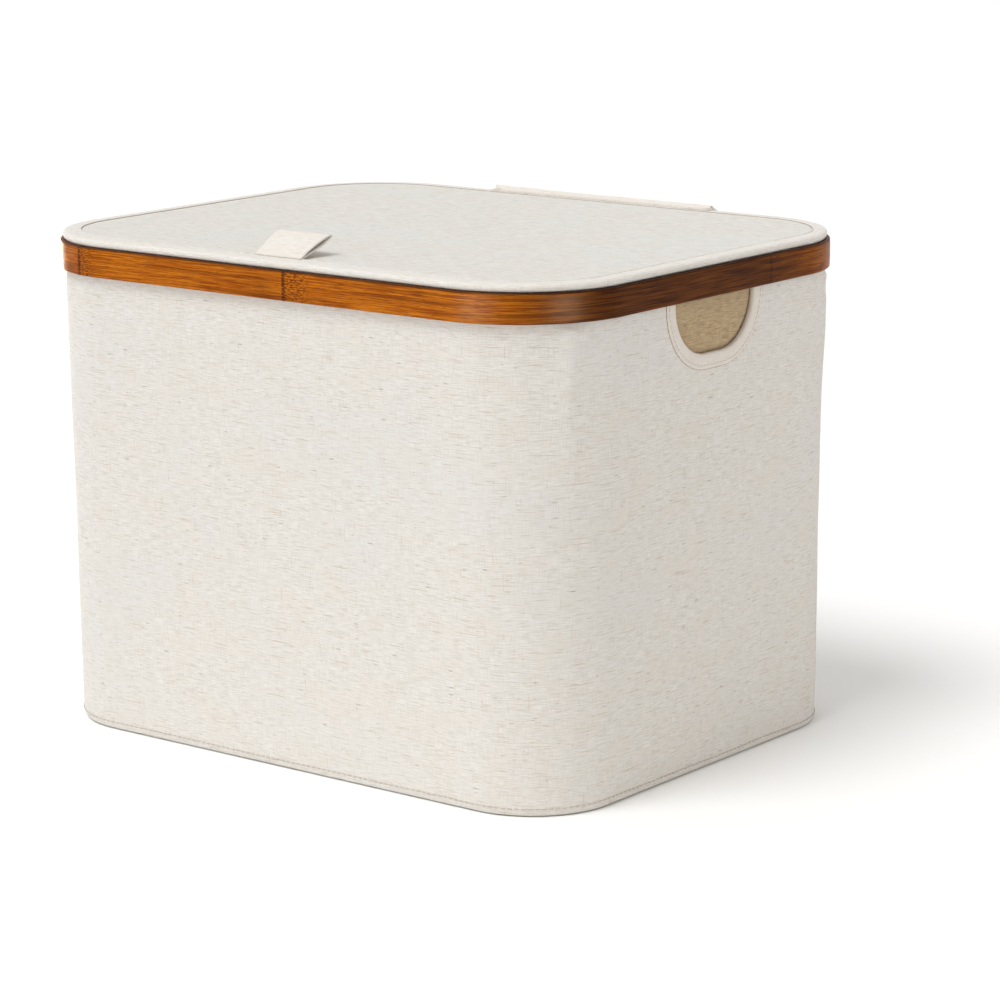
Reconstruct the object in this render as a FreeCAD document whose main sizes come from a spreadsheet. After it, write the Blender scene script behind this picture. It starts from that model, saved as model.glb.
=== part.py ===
# Fabric storage box with a bamboo rim and a tape-hinged lid.
# Millimetres. X is the width (left to right), Y the depth (front is -Y),
# Z is up, with the floor at Z = 0.
import FreeCAD
import Part
import os
import math
import Sketcher

App = FreeCAD
V = App.Vector

os.makedirs("parts", exist_ok=True)
doc = App.newDocument("StorageBox")

# ---------------------------------------------------------------- sizes
sheet = doc.addObject("Spreadsheet::Sheet", "Dims")
SIZES = [
    # rim
    ("width", "400", "outside of the bamboo rim, left to right"),
    ("depth", "325", "outside of the bamboo rim, front to back"),
    ("rim_top", "295", "top edge of the bamboo rim"),
    ("rim_height", "17", "height of the bamboo strip"),
    ("rim_thick", "3.4", "thickness of the bamboo strip"),
    ("rim_radius", "69", "outside corner radius of the rim"),
    ("rim_edge", "1.1", "rounding of the rim's outer edges"),
    ("rim_low", "=rim_top - rim_height", "bottom edge of the rim"),
    ("rim_in_w", "=width - 2 * rim_thick", "inside width of the rim"),
    ("rim_in_d", "=depth - 2 * rim_thick", "inside depth of the rim"),
    ("rim_in_r", "=rim_radius - rim_thick", "inside corner radius of the rim"),
    # tapered body
    ("fit_gap", "0.1", "gap between neighbouring layers"),
    ("top_w", "=rim_in_w - 2 * fit_gap", "cover, width at the top"),
    ("top_d", "=rim_in_d - 2 * fit_gap", "cover, depth at the top"),
    ("top_r", "=rim_in_r - fit_gap", "cover, corner radius at the top"),
    ("base_w", "388", "cover, width at the floor"),
    ("base_d", "302", "cover, depth at the floor"),
    ("base_r", "54", "cover, corner radius at the floor"),
    ("cover_thick", "0.9", "canvas of the outer cover"),
    ("board_thick", "2", "stiff board in the walls"),
    ("lining_thick", "0.6", "lining cloth"),
    ("wall_top", "=rim_top - 1", "top edge of the wall layers"),
    ("bottom_thick", "0.9", "canvas of the outer bottom"),
    ("base_thick", "2.4", "stiff base board"),
    ("board_low", "=bottom_thick + fit_gap", "lower edge of the wall boards"),
    ("base_high", "=board_low + base_thick", "upper face of the base board"),
    ("lining_low", "=base_high + fit_gap", "underside of the lining's bottom"),
    ("floor_top", "=lining_low + lining_thick", "floor inside the box"),
    ("ground", "0", "the floor the box stands on"),
    ("in_one", "=cover_thick", "inset of the cover's inner face"),
    ("in_two", "=in_one + fit_gap", "inset of the boards' outer face"),
    ("in_three", "=in_two + board_thick", "inset of the boards' inner face"),
    ("in_four", "=in_three + fit_gap", "inset of the lining's outer face"),
    ("in_five", "=in_four + lining_thick", "inset of the lining's inner face"),
    ("in_six", "=in_five + fit_gap", "inset of the base board"),
    # hand holes
    ("hole_w", "78", "width of a hand hole"),
    ("hole_h", "33", "height of a hand hole below the rim"),
    ("hole_r", "31", "rounding of the hole's lower corners"),
    ("hole_low", "=rim_low - hole_h", "lowest point of the hole"),
    ("facing_w", "8.5", "width of the facing round the hole"),
    ("facing_thick", "0.5", "thickness of the facing"),
    ("stitch_in", "6.2", "sewing line, distance from the hole's edge"),
    ("stitch_w", "0.8", "width of a sewing line"),
    ("stitch_up", "0.3", "height of a sewing line"),
    ("face_back", "0.05", "gap between the wall and what is sewn on it"),
    ("face_front", "=face_back + facing_thick", "facing's outer face, out from the wall"),
    ("sew_back", "=face_front + 0.02", "sewing line's back, out from the wall"),
    ("sew_front", "=sew_back + stitch_up", "sewing line's front, out from the wall"),
    ("sew_inner", "=stitch_in - stitch_w / 2", "sewing line, inner edge"),
    ("sew_outer", "=stitch_in + stitch_w / 2", "sewing line, outer edge"),
    # seams
    ("seam_z", "4.6", "height of the seam round the foot"),
    ("seam_h", "1.2", "height of that seam's bead"),
    ("seam_out", "0.4", "how far that bead stands out"),
    ("seam_low", "=seam_z - seam_h / 2", "underside of that bead"),
    ("seam_high", "=seam_z + seam_h / 2", "top of that bead"),
    ("seam_back", "0.15", "gap behind that bead"),
    ("seam_out_all", "=seam_back + seam_out", "its outer face, out from the wall"),
    ("strip_w", "14", "width of the upright seam strip at the back"),
    ("strip_thick", "0.5", "thickness of that strip"),
    ("strip_half", "=strip_w / 2", "half of its width"),
    ("strip_low", "6.5", "its lower end"),
    ("strip_high", "=rim_low - 0.3", "its upper end, under the rim"),
    ("strip_front", "=face_back + strip_thick", "its outer face, out from the wall"),
    # binding of the upper edge
    ("bind_thick", "0.6", "binding cloth"),
    ("bind_low", "=rim_low + 0.5", "lower edge of the binding inside"),
    ("bind_out", "=in_five + 0.6", "inset of the binding's outer face"),
    ("bind_in", "=bind_out + bind_thick", "inset of the binding's inner face"),
    ("bind_cap", "=wall_top + fit_gap", "underside of the binding's cap"),
    ("bind_top", "=bind_cap + bind_thick", "top of the binding's cap"),
    ("bind_band_h", "=bind_top - bind_low", "height of the binding inside"),
    ("staple_w", "8", "staple crown, length"),
    ("staple_h", "1", "staple crown, wire width"),
    ("staple_t", "0.4", "staple crown, wire thickness"),
    ("staple_z", "=rim_top - 9", "height of the staples"),
    # lid
    ("lid_inset", "1.9", "lid edge, inside the rim's outer face"),
    ("lid_low", "=rim_top + 1", "underside of the lid"),
    ("lid_thick", "3.8", "thickness of the lid"),
    ("lid_skin", "0.7", "cloth of the lid"),
    ("lid_edge", "0.8", "cloth round the lid's edge"),
    ("border_w", "12", "width of the border on the lid"),
    ("lid_w", "=width - 2 * lid_inset", "lid width"),
    ("lid_d", "=depth - 2 * lid_inset", "lid depth"),
    ("lid_r", "=rim_radius - lid_inset", "lid corner radius"),
    ("lid_top", "=lid_low + lid_thick", "top of the lid"),
    ("skin_low", "=lid_low + lid_skin", "top of the lid's lower cloth"),
    ("skin_high", "=lid_top - lid_skin", "underside of the lid's upper cloth"),
    ("lid_board_low", "=skin_low + fit_gap", "underside of the lid board"),
    ("lid_board_high", "=skin_high - fit_gap", "top of the lid board"),
    ("panel_drop", "0.1", "panel lies this much below the border"),
    ("panel_top", "=lid_top - panel_drop", "top of the lid's panel"),
    ("welt_w", "0.9", "raised seam at the border's inner edge"),
    ("welt_up", "0.4", "height of the raised seam"),
    ("welt_top", "=lid_top + welt_up", "top of the raised seam"),
    ("lid_board_thick", "=lid_board_high - lid_board_low", "lid board"),
    ("lid_board_in", "=lid_edge + fit_gap", "inset of the lid board"),
    ("panel_thick", "=panel_top - skin_high", "cloth of the lid's panel"),
    ("panel_in", "=border_w + fit_gap", "inset of the lid's panel"),
    ("lid_lining_thick", "=lid_skin - panel_drop", "cloth under the lid"),
    ("lid_lining_low", "=lid_low + panel_drop", "underside of that cloth"),
    ("border_wide", "=border_w + 1", "past the border's inner edge"),
    ("hollow_h", "=skin_high - skin_low", "height of the hollow in the border"),
    ("welt_low", "=panel_top + 0.02", "underside of the raised seam"),
    ("welt_h", "=welt_top - welt_low", "its whole height"),
    ("welt_in", "=border_w + welt_w", "its inner edge"),
    # hinge tape
    ("tape_w", "170", "width of the hinge tape"),
    ("tape_thick", "0.7", "thickness of the hinge tape"),
    ("tape_half", "=tape_thick / 2", "half of that"),
    ("fold_y", "=depth / 2 + 1.1", "both fold lines, behind the rim"),
    ("fold_low", "=rim_top + 0.4", "lower fold line"),
    ("fold_high", "=rim_top + 6.6", "upper fold line"),
    ("link_low", "=fold_low + 0.8", "lower end of the upright tape"),
    ("link_high", "=fold_high - 0.8", "upper end of the upright tape"),
    ("link_front", "=fold_y - tape_half", "front face of the upright tape"),
    ("link_back", "=fold_y + tape_half", "back face of the upright tape"),
    ("leg_out", "=top_d / 2 - bind_in - fit_gap", "tape inside, outer face"),
    ("leg_in", "=leg_out - tape_thick", "tape inside, inner face"),
    ("leg_low", "=rim_top - 27", "lower end of the tape inside"),
    ("over_low", "=fold_low - tape_half", "underside of the tape over the rim"),
    ("over_high", "=fold_low + tape_half", "top of the tape over the rim"),
    ("hem_front", "=lid_d / 2 - border_w + 0.7", "front edge of the hem"),
    ("hem_bend", "=lid_d / 2 - 0.1", "where the hem leaves the lid"),
    ("hem_bend_up", "=hem_bend - 0.15", "the same, upper face"),
    ("hem_low", "=lid_top + 0.05", "underside of the hem"),
    ("hem_high", "=hem_low + tape_thick", "top of the hem"),
    ("tip_low_y", "=fold_y + 0.15", "hem tip, lower corner"),
    ("tip_low_z", "=fold_high - 0.32", "hem tip, lower corner"),
    ("tip_high_y", "=fold_y - 0.15", "hem tip, upper corner"),
    ("tip_high_z", "=fold_high + 0.32", "hem tip, upper corner"),
    # pull tab
    ("tab_w", "38", "width of the pull tab"),
    ("tab_len", "26", "length of the pull tab"),
    ("tab_thick", "0.75", "thickness of the tab's tape"),
    ("tab_gap", "0.3", "gap between the two layers"),
    ("tab_all", "=2 * tab_thick + tab_gap", "thickness of the folded tab"),
    ("tab_half", "=tab_all / 2", "half of that"),
    ("tab_slit", "=tab_gap / 2", "half of the gap"),
    ("tab_slit_end", "=tab_len - tab_half - 1.5", "where the gap ends"),
    ("tab_tip", "=tab_len - tab_half", "centre of the folded end"),
    ("tab_y", "=lid_d / 2 - border_w - 1.4", "tab's seam, in front of centre"),
    ("tab_z", "=lid_top + 1.2", "height of the tab's seam"),
    ("tab_slit_from", "1.6", "where the gap starts"),
    ("tab_rise", "23", "angle of the tab above the lid, degrees"),
]
for row, (alias, value, note) in enumerate(SIZES, start=1):
    sheet.set("A%d" % row, alias.replace("_", " "))
    sheet.set("B%d" % row, value)
    sheet.setAlias("B%d" % row, alias)
    sheet.set("C%d" % row, note)
doc.recompute()


def val(name):
    """A size by its name; a leading minus turns its sign."""
    if not isinstance(name, str):
        return float(name)
    if name.startswith("-"):
        return -float(getattr(sheet, name[1:]))
    return float(getattr(sheet, name))


def expr(name):
    if name.startswith("-"):
        return "-Dims." + name[1:]
    return "Dims." + name


# ---------------------------------------------------------------- helpers
def new_body(name):
    body = doc.addObject("PartDesign::Body", name)
    return body


def plane(body, role):
    for f in body.Origin.OriginFeatures:
        if f.Role == role:
            return f
    raise RuntimeError("no plane " + role)


def sketch_on(body, name, role, offset=None):
    """A sketch on one of the body's own planes, lifted by a named size."""
    sk = body.newObject("Sketcher::SketchObject", name)
    sk.AttachmentSupport = [(plane(body, role), "")]
    sk.MapMode = "FlatFace"
    if offset is not None:
        sk.AttachmentOffset = App.Placement(V(0, 0, val(offset)), App.Rotation())
        sk.setExpression("AttachmentOffset.Base.z", expr(offset))
    return sk


def add_rounded(sk, w, d, r, inset=None, inset_sign=1):
    """Rounded rectangle about the origin: w by d with radius r, all inset
    by a named size (a negative sign makes it larger)."""
    i = val(inset) * inset_sign if inset else 0.0
    W = val(w) - 2 * i
    D = val(d) - 2 * i
    R = val(r) - i
    x = W / 2 - R
    y = D / 2 - R
    g0 = sk.GeometryCount
    up = V(0, 0, 1)
    arc = lambda cx, cy, a: Part.ArcOfCircle(
        Part.Circle(V(cx, cy, 0), up, R), math.radians(a), math.radians(a + 90))
    sk.addGeometry([
        Part.LineSegment(V(-x, -D / 2, 0), V(x, -D / 2, 0)),
        arc(x, -y, -90),
        Part.LineSegment(V(W / 2, -y, 0), V(W / 2, y, 0)),
        arc(x, y, 0),
        Part.LineSegment(V(x, D / 2, 0), V(-x, D / 2, 0)),
        arc(-x, y, 90),
        Part.LineSegment(V(-W / 2, y, 0), V(-W / 2, -y, 0)),
        arc(-x, -y, 180),
    ], False)
    C = Sketcher.Constraint
    cons = []
    for k in range(8):
        cons.append(C("Tangent", g0 + k, 2, g0 + (k + 1) % 8, 1))
    cons += [
        C("Horizontal", g0), C("Horizontal", g0 + 4),
        C("Vertical", g0 + 2), C("Vertical", g0 + 6),
        C("Equal", g0 + 1, g0 + 3), C("Equal", g0 + 3, g0 + 5),
        C("Equal", g0 + 5, g0 + 7),
        C("Symmetric", g0 + 1, 3, g0 + 5, 3, -1, 1),
    ]
    sk.addConstraint(cons)
    sign = "-" if inset_sign > 0 else "+"
    tail = " %s Dims.%s" % (sign, inset) if inset else ""
    tail_two = " %s 2 * Dims.%s" % (sign, inset) if inset else ""
    n = sk.addConstraint(C("Radius", g0 + 1, R))
    sk.setExpression("Constraints[%d]" % n, "Dims." + r + tail)
    n = sk.addConstraint(C("DistanceX", g0 + 6, 1, g0 + 2, 1, W))
    sk.setExpression("Constraints[%d]" % n, "Dims." + w + tail_two)
    n = sk.addConstraint(C("DistanceY", g0, 1, g0 + 4, 1, D))
    sk.setExpression("Constraints[%d]" % n, "Dims." + d + tail_two)


def add_poly(sk, pts):
    """Closed polygon; each corner is a pair of named sizes or numbers."""
    xy = [(val(a), val(b)) for a, b in pts]
    g0 = sk.GeometryCount
    n = len(xy)
    sk.addGeometry([Part.LineSegment(V(xy[k][0], xy[k][1], 0),
                                     V(xy[(k + 1) % n][0], xy[(k + 1) % n][1], 0))
                    for k in range(n)], False)
    C = Sketcher.Constraint
    sk.addConstraint([C("Coincident", g0 + k, 2, g0 + (k + 1) % n, 1) for k in range(n)])
    for k, (a, b) in enumerate(pts):
        for kind, s, v in (("DistanceX", a, xy[k][0]), ("DistanceY", b, xy[k][1])):
            if abs(v) < 1e-9:
                # a corner on an axis
                sk.addConstraint(C("PointOnObject", g0 + k, 1, -2 if kind == "DistanceX" else -1))
                continue
            c = sk.addConstraint(C(kind, -1, 1, g0 + k, 1, v))
            if isinstance(s, str):
                sk.setExpression("Constraints[%d]" % c, expr(s))


def loft(body, name, low, high, cut=False):
    kind = "PartDesign::SubtractiveLoft" if cut else "PartDesign::AdditiveLoft"
    f = body.newObject(kind, name)
    f.Profile = low
    f.Sections = [high]
    f.Ruled = True
    low.Visibility = False
    high.Visibility = False
    return f


def tapered(body, tag, z_low, z_high, inset, cut=False, sign=1):
    a = sketch_on(body, tag + "Low", "XY_Plane", z_low)
    add_rounded(a, "base_w", "base_d", "base_r", inset, sign)
    b = sketch_on(body, tag + "High", "XY_Plane", z_high)
    add_rounded(b, "top_w", "top_d", "top_r", inset, sign)
    doc.recompute()
    f = loft(body, tag, a, b, cut)
    doc.recompute()
    return f


def tapered_ring(name, z_low, z_high, outer, inner):
    body = new_body(name)
    tapered(body, name + "Outside", z_low, z_high, outer)
    tapered(body, name + "Inside", z_low, z_high, inner, True)
    return body


def pad(body, sk, length, name, both=False):
    f = body.newObject("PartDesign::Pad", name)
    f.Profile = sk
    f.Length = abs(val(length))
    if isinstance(length, str):
        f.setExpression("Length", expr(length))
    if both:
        f.SideType = "Symmetric"
    sk.Visibility = False
    doc.recompute()
    return f


def pocket(body, sk, name, through=True, length=None, both=False):
    """Cuts, and turns round if the first way took nothing off."""
    before = body.Shape.Volume
    if sk.solve() != 0:
        raise RuntimeError("sketch %s doesn't solve" % sk.Name)
    f = body.newObject("PartDesign::Pocket", name)
    f.Profile = sk
    if both:
        f.SideType = "Symmetric"
        f.Length = 1000.0
    elif through:
        f.Type = "ThroughAll"
    else:
        f.Length = abs(val(length))
        f.setExpression("Length", expr(length))
    sk.Visibility = False
    doc.recompute()
    if body.Shape.Volume > before - 1e-6:
        f.Reversed = not f.Reversed
        doc.recompute()
        if body.Shape.Volume > before - 1e-6:
            raise RuntimeError("pocket %s cut nothing" % name)
    return f


def slab(name, w, d, r, z_low, thick, inset=None, sign=1):
    body = new_body(name)
    sk = sketch_on(body, name + "Outline", "XY_Plane", z_low)
    add_rounded(sk, w, d, r, inset, sign)
    pad(body, sk, thick, name + "Pad")
    return body


def slot_outline(sk, grow=None, top="rim_low", extra_top=0.0):
    """The hand hole's outline on the YZ plane: upright sides and a lower
    edge with large round corners, grown outward by a named size."""
    g = val(grow) if grow else 0.0
    hw = val("hole_w") / 2 + g
    low = val("hole_low") - g
    R = val("hole_r") + g
    high = val(top) + extra_top
    g0 = sk.GeometryCount
    up = V(0, 0, 1)
    sk.addGeometry([
        Part.LineSegment(V(-hw, high, 0), V(-hw, low + R, 0)),
        Part.ArcOfCircle(Part.Circle(V(-hw + R, low + R, 0), up, R), math.pi, 1.5 * math.pi),
        Part.LineSegment(V(-hw + R, low, 0), V(hw - R, low, 0)),
        Part.ArcOfCircle(Part.Circle(V(hw - R, low + R, 0), up, R), 1.5 * math.pi, 2 * math.pi),
        Part.LineSegment(V(hw, low + R, 0), V(hw, high, 0)),
        Part.LineSegment(V(hw, high, 0), V(-hw, high, 0)),
    ], False)
    C = Sketcher.Constraint
    sk.addConstraint([
        C("Tangent", g0, 2, g0 + 1, 1), C("Tangent", g0 + 1, 2, g0 + 2, 1),
        C("Tangent", g0 + 2, 2, g0 + 3, 1), C("Tangent", g0 + 3, 2, g0 + 4, 1),
        C("Coincident", g0 + 4, 2, g0 + 5, 1), C("Coincident", g0 + 5, 2, g0, 1),
        C("Vertical", g0), C("Vertical", g0 + 4), C("Horizontal", g0 + 2),
        C("Equal", g0 + 1, g0 + 3),
        C("Symmetric", g0 + 5, 1, g0 + 5, 2, -2),
    ])
    tail = " + Dims." + grow if grow else ""
    n = sk.addConstraint(C("Radius", g0 + 1, R))
    sk.setExpression("Constraints[%d]" % n, "Dims.hole_r" + tail)
    n = sk.addConstraint(C("DistanceX", g0, 1, g0 + 4, 2, 2 * hw))
    sk.setExpression("Constraints[%d]" % n, "Dims.hole_w" + (" + 2 * Dims." + grow if grow else ""))
    n = sk.addConstraint(C("DistanceY", -1, 1, g0 + 2, 1, low))
    sk.setExpression("Constraints[%d]" % n, "Dims.hole_low" + (" - Dims." + grow if grow else ""))
    n = sk.addConstraint(C("DistanceY", -1, 1, g0, 1, high))
    sk.setExpression("Constraints[%d]" % n, "Dims.%s + %g" % (top, extra_top))


def cut_holes(body, name):
    sk = sketch_on(body, name, "YZ_Plane")
    slot_outline(sk)
    doc.recompute()
    pocket(body, sk, name + "Cut", both=True)


made = []


def keep(node, obj):
    made.append((node, obj))


# ---------------------------------------------------------------- rim
rim = new_body("BambooRim")
s = sketch_on(rim, "RimOutline", "XY_Plane", "rim_low")
add_rounded(s, "width", "depth", "rim_radius")
add_rounded(s, "rim_in_w", "rim_in_d", "rim_in_r")
doc.recompute()
rim_pad = pad(rim, s, "rim_height", "RimPad")
# The outer edges of the strip are rounded over.
names = []
half_w = val("width") / 2
half_d = val("depth") / 2
for k, e in enumerate(rim_pad.Shape.Edges, start=1):
    bb = e.BoundBox
    if bb.ZLength > 0.01:
        continue
    m = e.valueAt((e.FirstParameter + e.LastParameter) / 2)
    on_side = abs(abs(m.x) - half_w) < 0.01 or abs(abs(m.y) - half_d) < 0.01
    cx = half_w - val("rim_radius")
    cy = half_d - val("rim_radius")
    on_arc = (abs(m.x) > cx and abs(m.y) > cy and
              abs(math.hypot(abs(m.x) - cx, abs(m.y) - cy) - val("rim_radius")) < 0.01)
    if on_side or on_arc:
        names.append("Edge%d" % k)
fil = rim.newObject("PartDesign::Fillet", "RimRounding")
fil.Base = (rim_pad, names)
fil.Radius = val("rim_edge")
fil.setExpression("Radius", expr("rim_edge"))
doc.recompute()
keep("bamboo_rim", rim)

# ---------------------------------------------------------------- cover
body = new_body("OuterCover")
tapered(body, "CoverOutside", "ground", "wall_top", None)
tapered(body, "CoverInside", "ground", "wall_top", "in_one", cut=True)
cut_holes(body, "CoverHoles")
keep("outer_cover", body)

keep("outer_bottom", slab("OuterBottom", "base_w", "base_d", "base_r", "ground",
                          "bottom_thick", "in_two"))

# ---------------------------------------------------------------- boards
# Four stiff boards meet inside the rounded corners: the front and rear
# boards wrap two thirds of each corner, the side boards the rest.
FAR = 300.0
WRAP = math.radians(60)


def board(name, which, holes=False):
    body = tapered_ring(name, "board_low", "wall_top", "in_two", "in_three")
    cx = val("top_w") / 2 - val("top_r")
    cy = val("top_d") / 2 - val("top_r")
    gx = 0.35
    tip_x = cx + FAR * math.sin(WRAP)
    tip_y = cy + FAR * math.cos(WRAP)
    sk = sketch_on(body, name + "Trim", "XY_Plane", "ground")
    if which in ("front", "rear"):
        s = -1.0 if which == "front" else 1.0
        pts = [(cx - gx, s * cy), (tip_x - gx, s * tip_y), (400.0, s * tip_y),
               (400.0, -s * 400.0), (-400.0, -s * 400.0), (-400.0, s * tip_y),
               (-tip_x + gx, s * tip_y), (-cx + gx, s * cy)]
    else:
        s = 1.0 if which == "right" else -1.0
        pts = [(s * (cx + gx), -cy), (s * (tip_x + gx), -tip_y), (s * (tip_x + gx), -450.0),
               (-s * 400.0, -450.0), (-s * 400.0, 450.0), (s * (tip_x + gx), 450.0),
               (s * (tip_x + gx), tip_y), (s * (cx + gx), cy)]
    add_poly(sk, pts)
    doc.recompute()
    pocket(body, sk, name + "TrimCut")
    if holes:
        cut_holes(body, name + "Hole")
    keep(which + "_board", body)


board("FrontBoard", "front")
board("RearBoard", "rear")
board("LeftBoard", "left", True)
board("RightBoard", "right", True)

keep("base_board", slab("BaseBoard", "base_w", "base_d", "base_r", "board_low",
                        "base_thick", "in_six"))

# ---------------------------------------------------------------- lining
# The lining isn't cut at the hand holes: it closes them from behind, and
# gives way to the fingers.
keep("lining_wall", tapered_ring("LiningWall", "board_low", "wall_top", "in_four", "in_five"))
keep("lining_bottom", slab("LiningBottom", "base_w", "base_d", "base_r", "lining_low",
                           "lining_thick", "in_six"))

# The binding: a band inside the upper edge and a cap over the layers.
body = new_body("TopBinding")
s = sketch_on(body, "BindingBand", "XY_Plane", "bind_low")
add_rounded(s, "top_w", "top_d", "top_r", "bind_out")
add_rounded(s, "top_w", "top_d", "top_r", "bind_in")
doc.recompute()
pad(body, s, "bind_band_h", "BindingBandPad")
s = sketch_on(body, "BindingCap", "XY_Plane", "bind_cap")
add_rounded(s, "top_w", "top_d", "top_r")
add_rounded(s, "top_w", "top_d", "top_r", "bind_in")
doc.recompute()
pad(body, s, "bind_thick", "BindingCapPad")
keep("top_binding", body)

# ---------------------------------------------------------------- staples
crowns = []


def crown(name, face, along):
    """One staple crown lying on the binding's inner face."""
    b = doc.addObject("Part::Box", name)
    b.setExpression("Height", "Dims.staple_h")
    b.setExpression("Placement.Base.z", "Dims.staple_z - Dims.staple_h / 2")
    if face in ("front", "rear"):
        b.setExpression("Length", "Dims.staple_w")
        b.setExpression("Width", "Dims.staple_t")
        b.setExpression("Placement.Base.x", "%g - Dims.staple_w / 2" % along)
        if face == "rear":
            b.setExpression("Placement.Base.y",
                            "Dims.top_d / 2 - Dims.bind_in - Dims.fit_gap / 2 - Dims.staple_t")
        else:
            b.setExpression("Placement.Base.y",
                            "-(Dims.top_d / 2 - Dims.bind_in - Dims.fit_gap / 2)")
    else:
        b.setExpression("Width", "Dims.staple_w")
        b.setExpression("Length", "Dims.staple_t")
        b.setExpression("Placement.Base.y", "%g - Dims.staple_w / 2" % along)
        if face == "right":
            b.setExpression("Placement.Base.x",
                            "Dims.top_w / 2 - Dims.bind_in - Dims.fit_gap / 2 - Dims.staple_t")
        else:
            b.setExpression("Placement.Base.x",
                            "-(Dims.top_w / 2 - Dims.bind_in - Dims.fit_gap / 2)")
    crowns.append(b)


for k, at in enumerate((-110, 0, 110)):
    crown("StapleFront%d" % k, "front", at)
for k, at in enumerate((-115, 115)):
    crown("StapleRear%d" % k, "rear", at)
for k, at in enumerate((-60, 0, 60)):
    crown("StapleLeft%d" % k, "left", at)
    crown("StapleRight%d" % k, "right", at)
staples = doc.addObject("Part::Compound", "RimStaples")
staples.Links = crowns
doc.recompute()
keep("rim_staples", staples)

# ---------------------------------------------------------------- hand holes
def hole_band(name, node, side, back_size, out_size, inner_grow, outer_grow):
    """A U-shaped band round a hand hole, lying on the tapered side wall.
    Its back and front faces are the wall's outside moved out by two named
    sizes; its edges are the hole's outline grown by two more."""
    body = new_body(name)
    tapered(body, name + "Front", "ground", "wall_top", out_size, False, -1)
    tapered(body, name + "Back", "ground", "wall_top", back_size, True, -1)
    # everything outside the U
    sk = sketch_on(body, name + "Around", "YZ_Plane")
    slot_outline(sk, outer_grow)
    add_poly(sk, [(-260.0, -20.0), (260.0, -20.0), (260.0, 380.0), (-260.0, 380.0)])
    doc.recompute()
    pocket(body, sk, name + "AroundCut", both=True)
    # the hole itself
    sk = sketch_on(body, name + "Inner", "YZ_Plane")
    slot_outline(sk, inner_grow, extra_top=2.0)
    doc.recompute()
    pocket(body, sk, name + "InnerCut", both=True)
    # the other side's band
    sk = sketch_on(body, name + "Other", "XY_Plane", "ground")
    x = -260.0 if side == "right" else 260.0
    add_poly(sk, [(0.0, -260.0), (x, -260.0), (x, 260.0), (0.0, 260.0)])
    doc.recompute()
    pocket(body, sk, name + "OtherCut", both=True)
    keep(node, body)


hole_band("RightFacing", "right_hole_facing", "right", "face_back", "face_front", None, "facing_w")
hole_band("LeftFacing", "left_hole_facing", "left", "face_back", "face_front", None, "facing_w")
hole_band("RightHoleSeam", "right_hole_stitching", "right", "sew_back", "sew_front",
          "sew_inner", "sew_outer")
hole_band("LeftHoleSeam", "left_hole_stitching", "left", "sew_back", "sew_front",
          "sew_inner", "sew_outer")

# ---------------------------------------------------------------- foot seam
body = new_body("BottomSeam")
s = sketch_on(body, "SeamOutline", "XY_Plane", "seam_low")
add_rounded(s, "base_w", "base_d", "base_r", "seam_out_all", -1)
add_rounded(s, "base_w", "base_d", "base_r", "seam_back", -1)
doc.recompute()
pad(body, s, "seam_h", "SeamPad")
keep("bottom_seam", body)

# ---------------------------------------------------------------- rear strip
body = new_body("RearSeamStrip")
tapered(body, "StripFront", "ground", "wall_top", "strip_front", False, -1)
tapered(body, "StripBack", "ground", "wall_top", "face_back", True, -1)
sk = sketch_on(body, "StripAround", "XZ_Plane")
add_poly(sk, [("-strip_half", "strip_low"), ("strip_half", "strip_low"),
              ("strip_half", "strip_high"), ("-strip_half", "strip_high")])
add_poly(sk, [(-260.0, -20.0), (260.0, -20.0), (260.0, 380.0), (-260.0, 380.0)])
doc.recompute()
pocket(body, sk, "StripAroundCut", both=True)
sk = sketch_on(body, "StripOther", "XY_Plane", "ground")
add_poly(sk, [(-260.0, 0.0), (-260.0, -260.0), (260.0, -260.0), (260.0, 0.0)])
doc.recompute()
pocket(body, sk, "StripOtherCut", both=True)
keep("rear_seam_strip", body)

# ---------------------------------------------------------------- lid
keep("lid_board", slab("LidBoard", "lid_w", "lid_d", "lid_r", "lid_board_low",
                       "lid_board_thick", "lid_board_in"))
keep("lid_top_panel", slab("LidTopPanel", "lid_w", "lid_d", "lid_r", "skin_high",
                           "panel_thick", "panel_in"))
keep("lid_lining", slab("LidLining", "lid_w", "lid_d", "lid_r", "lid_lining_low",
                        "lid_lining_thick", "panel_in"))
body = new_body("LidBorder")
s = sketch_on(body, "BorderOutline", "XY_Plane", "lid_low")
add_rounded(s, "lid_w", "lid_d", "lid_r")
add_rounded(s, "lid_w", "lid_d", "lid_r", "border_w")
doc.recompute()
border_pad = pad(body, s, "lid_thick", "BorderPad")
s = sketch_on(body, "BorderHollow", "XY_Plane", "skin_high")
add_rounded(s, "lid_w", "lid_d", "lid_r", "lid_edge")
add_rounded(s, "lid_w", "lid_d", "lid_r", "border_wide")
doc.recompute()
pocket(body, s, "BorderHollowCut", through=False, length="hollow_h")
keep("lid_border", body)
body = new_body("LidWelt")
s = sketch_on(body, "WeltOutline", "XY_Plane", "welt_low")
add_rounded(s, "lid_w", "lid_d", "lid_r", "border_w")
add_rounded(s, "lid_w", "lid_d", "lid_r", "welt_in")
doc.recompute()
pad(body, s, "welt_h", "WeltPad")
keep("lid_welt", body)

# ---------------------------------------------------------------- hinge tape
def tape(name, node, pts):
    body = new_body(name)
    sk = sketch_on(body, name + "Profile", "YZ_Plane")
    add_poly(sk, pts)
    doc.recompute()
    pad(body, sk, "tape_w", name + "Pad", both=True)
    keep(node, body)


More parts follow.
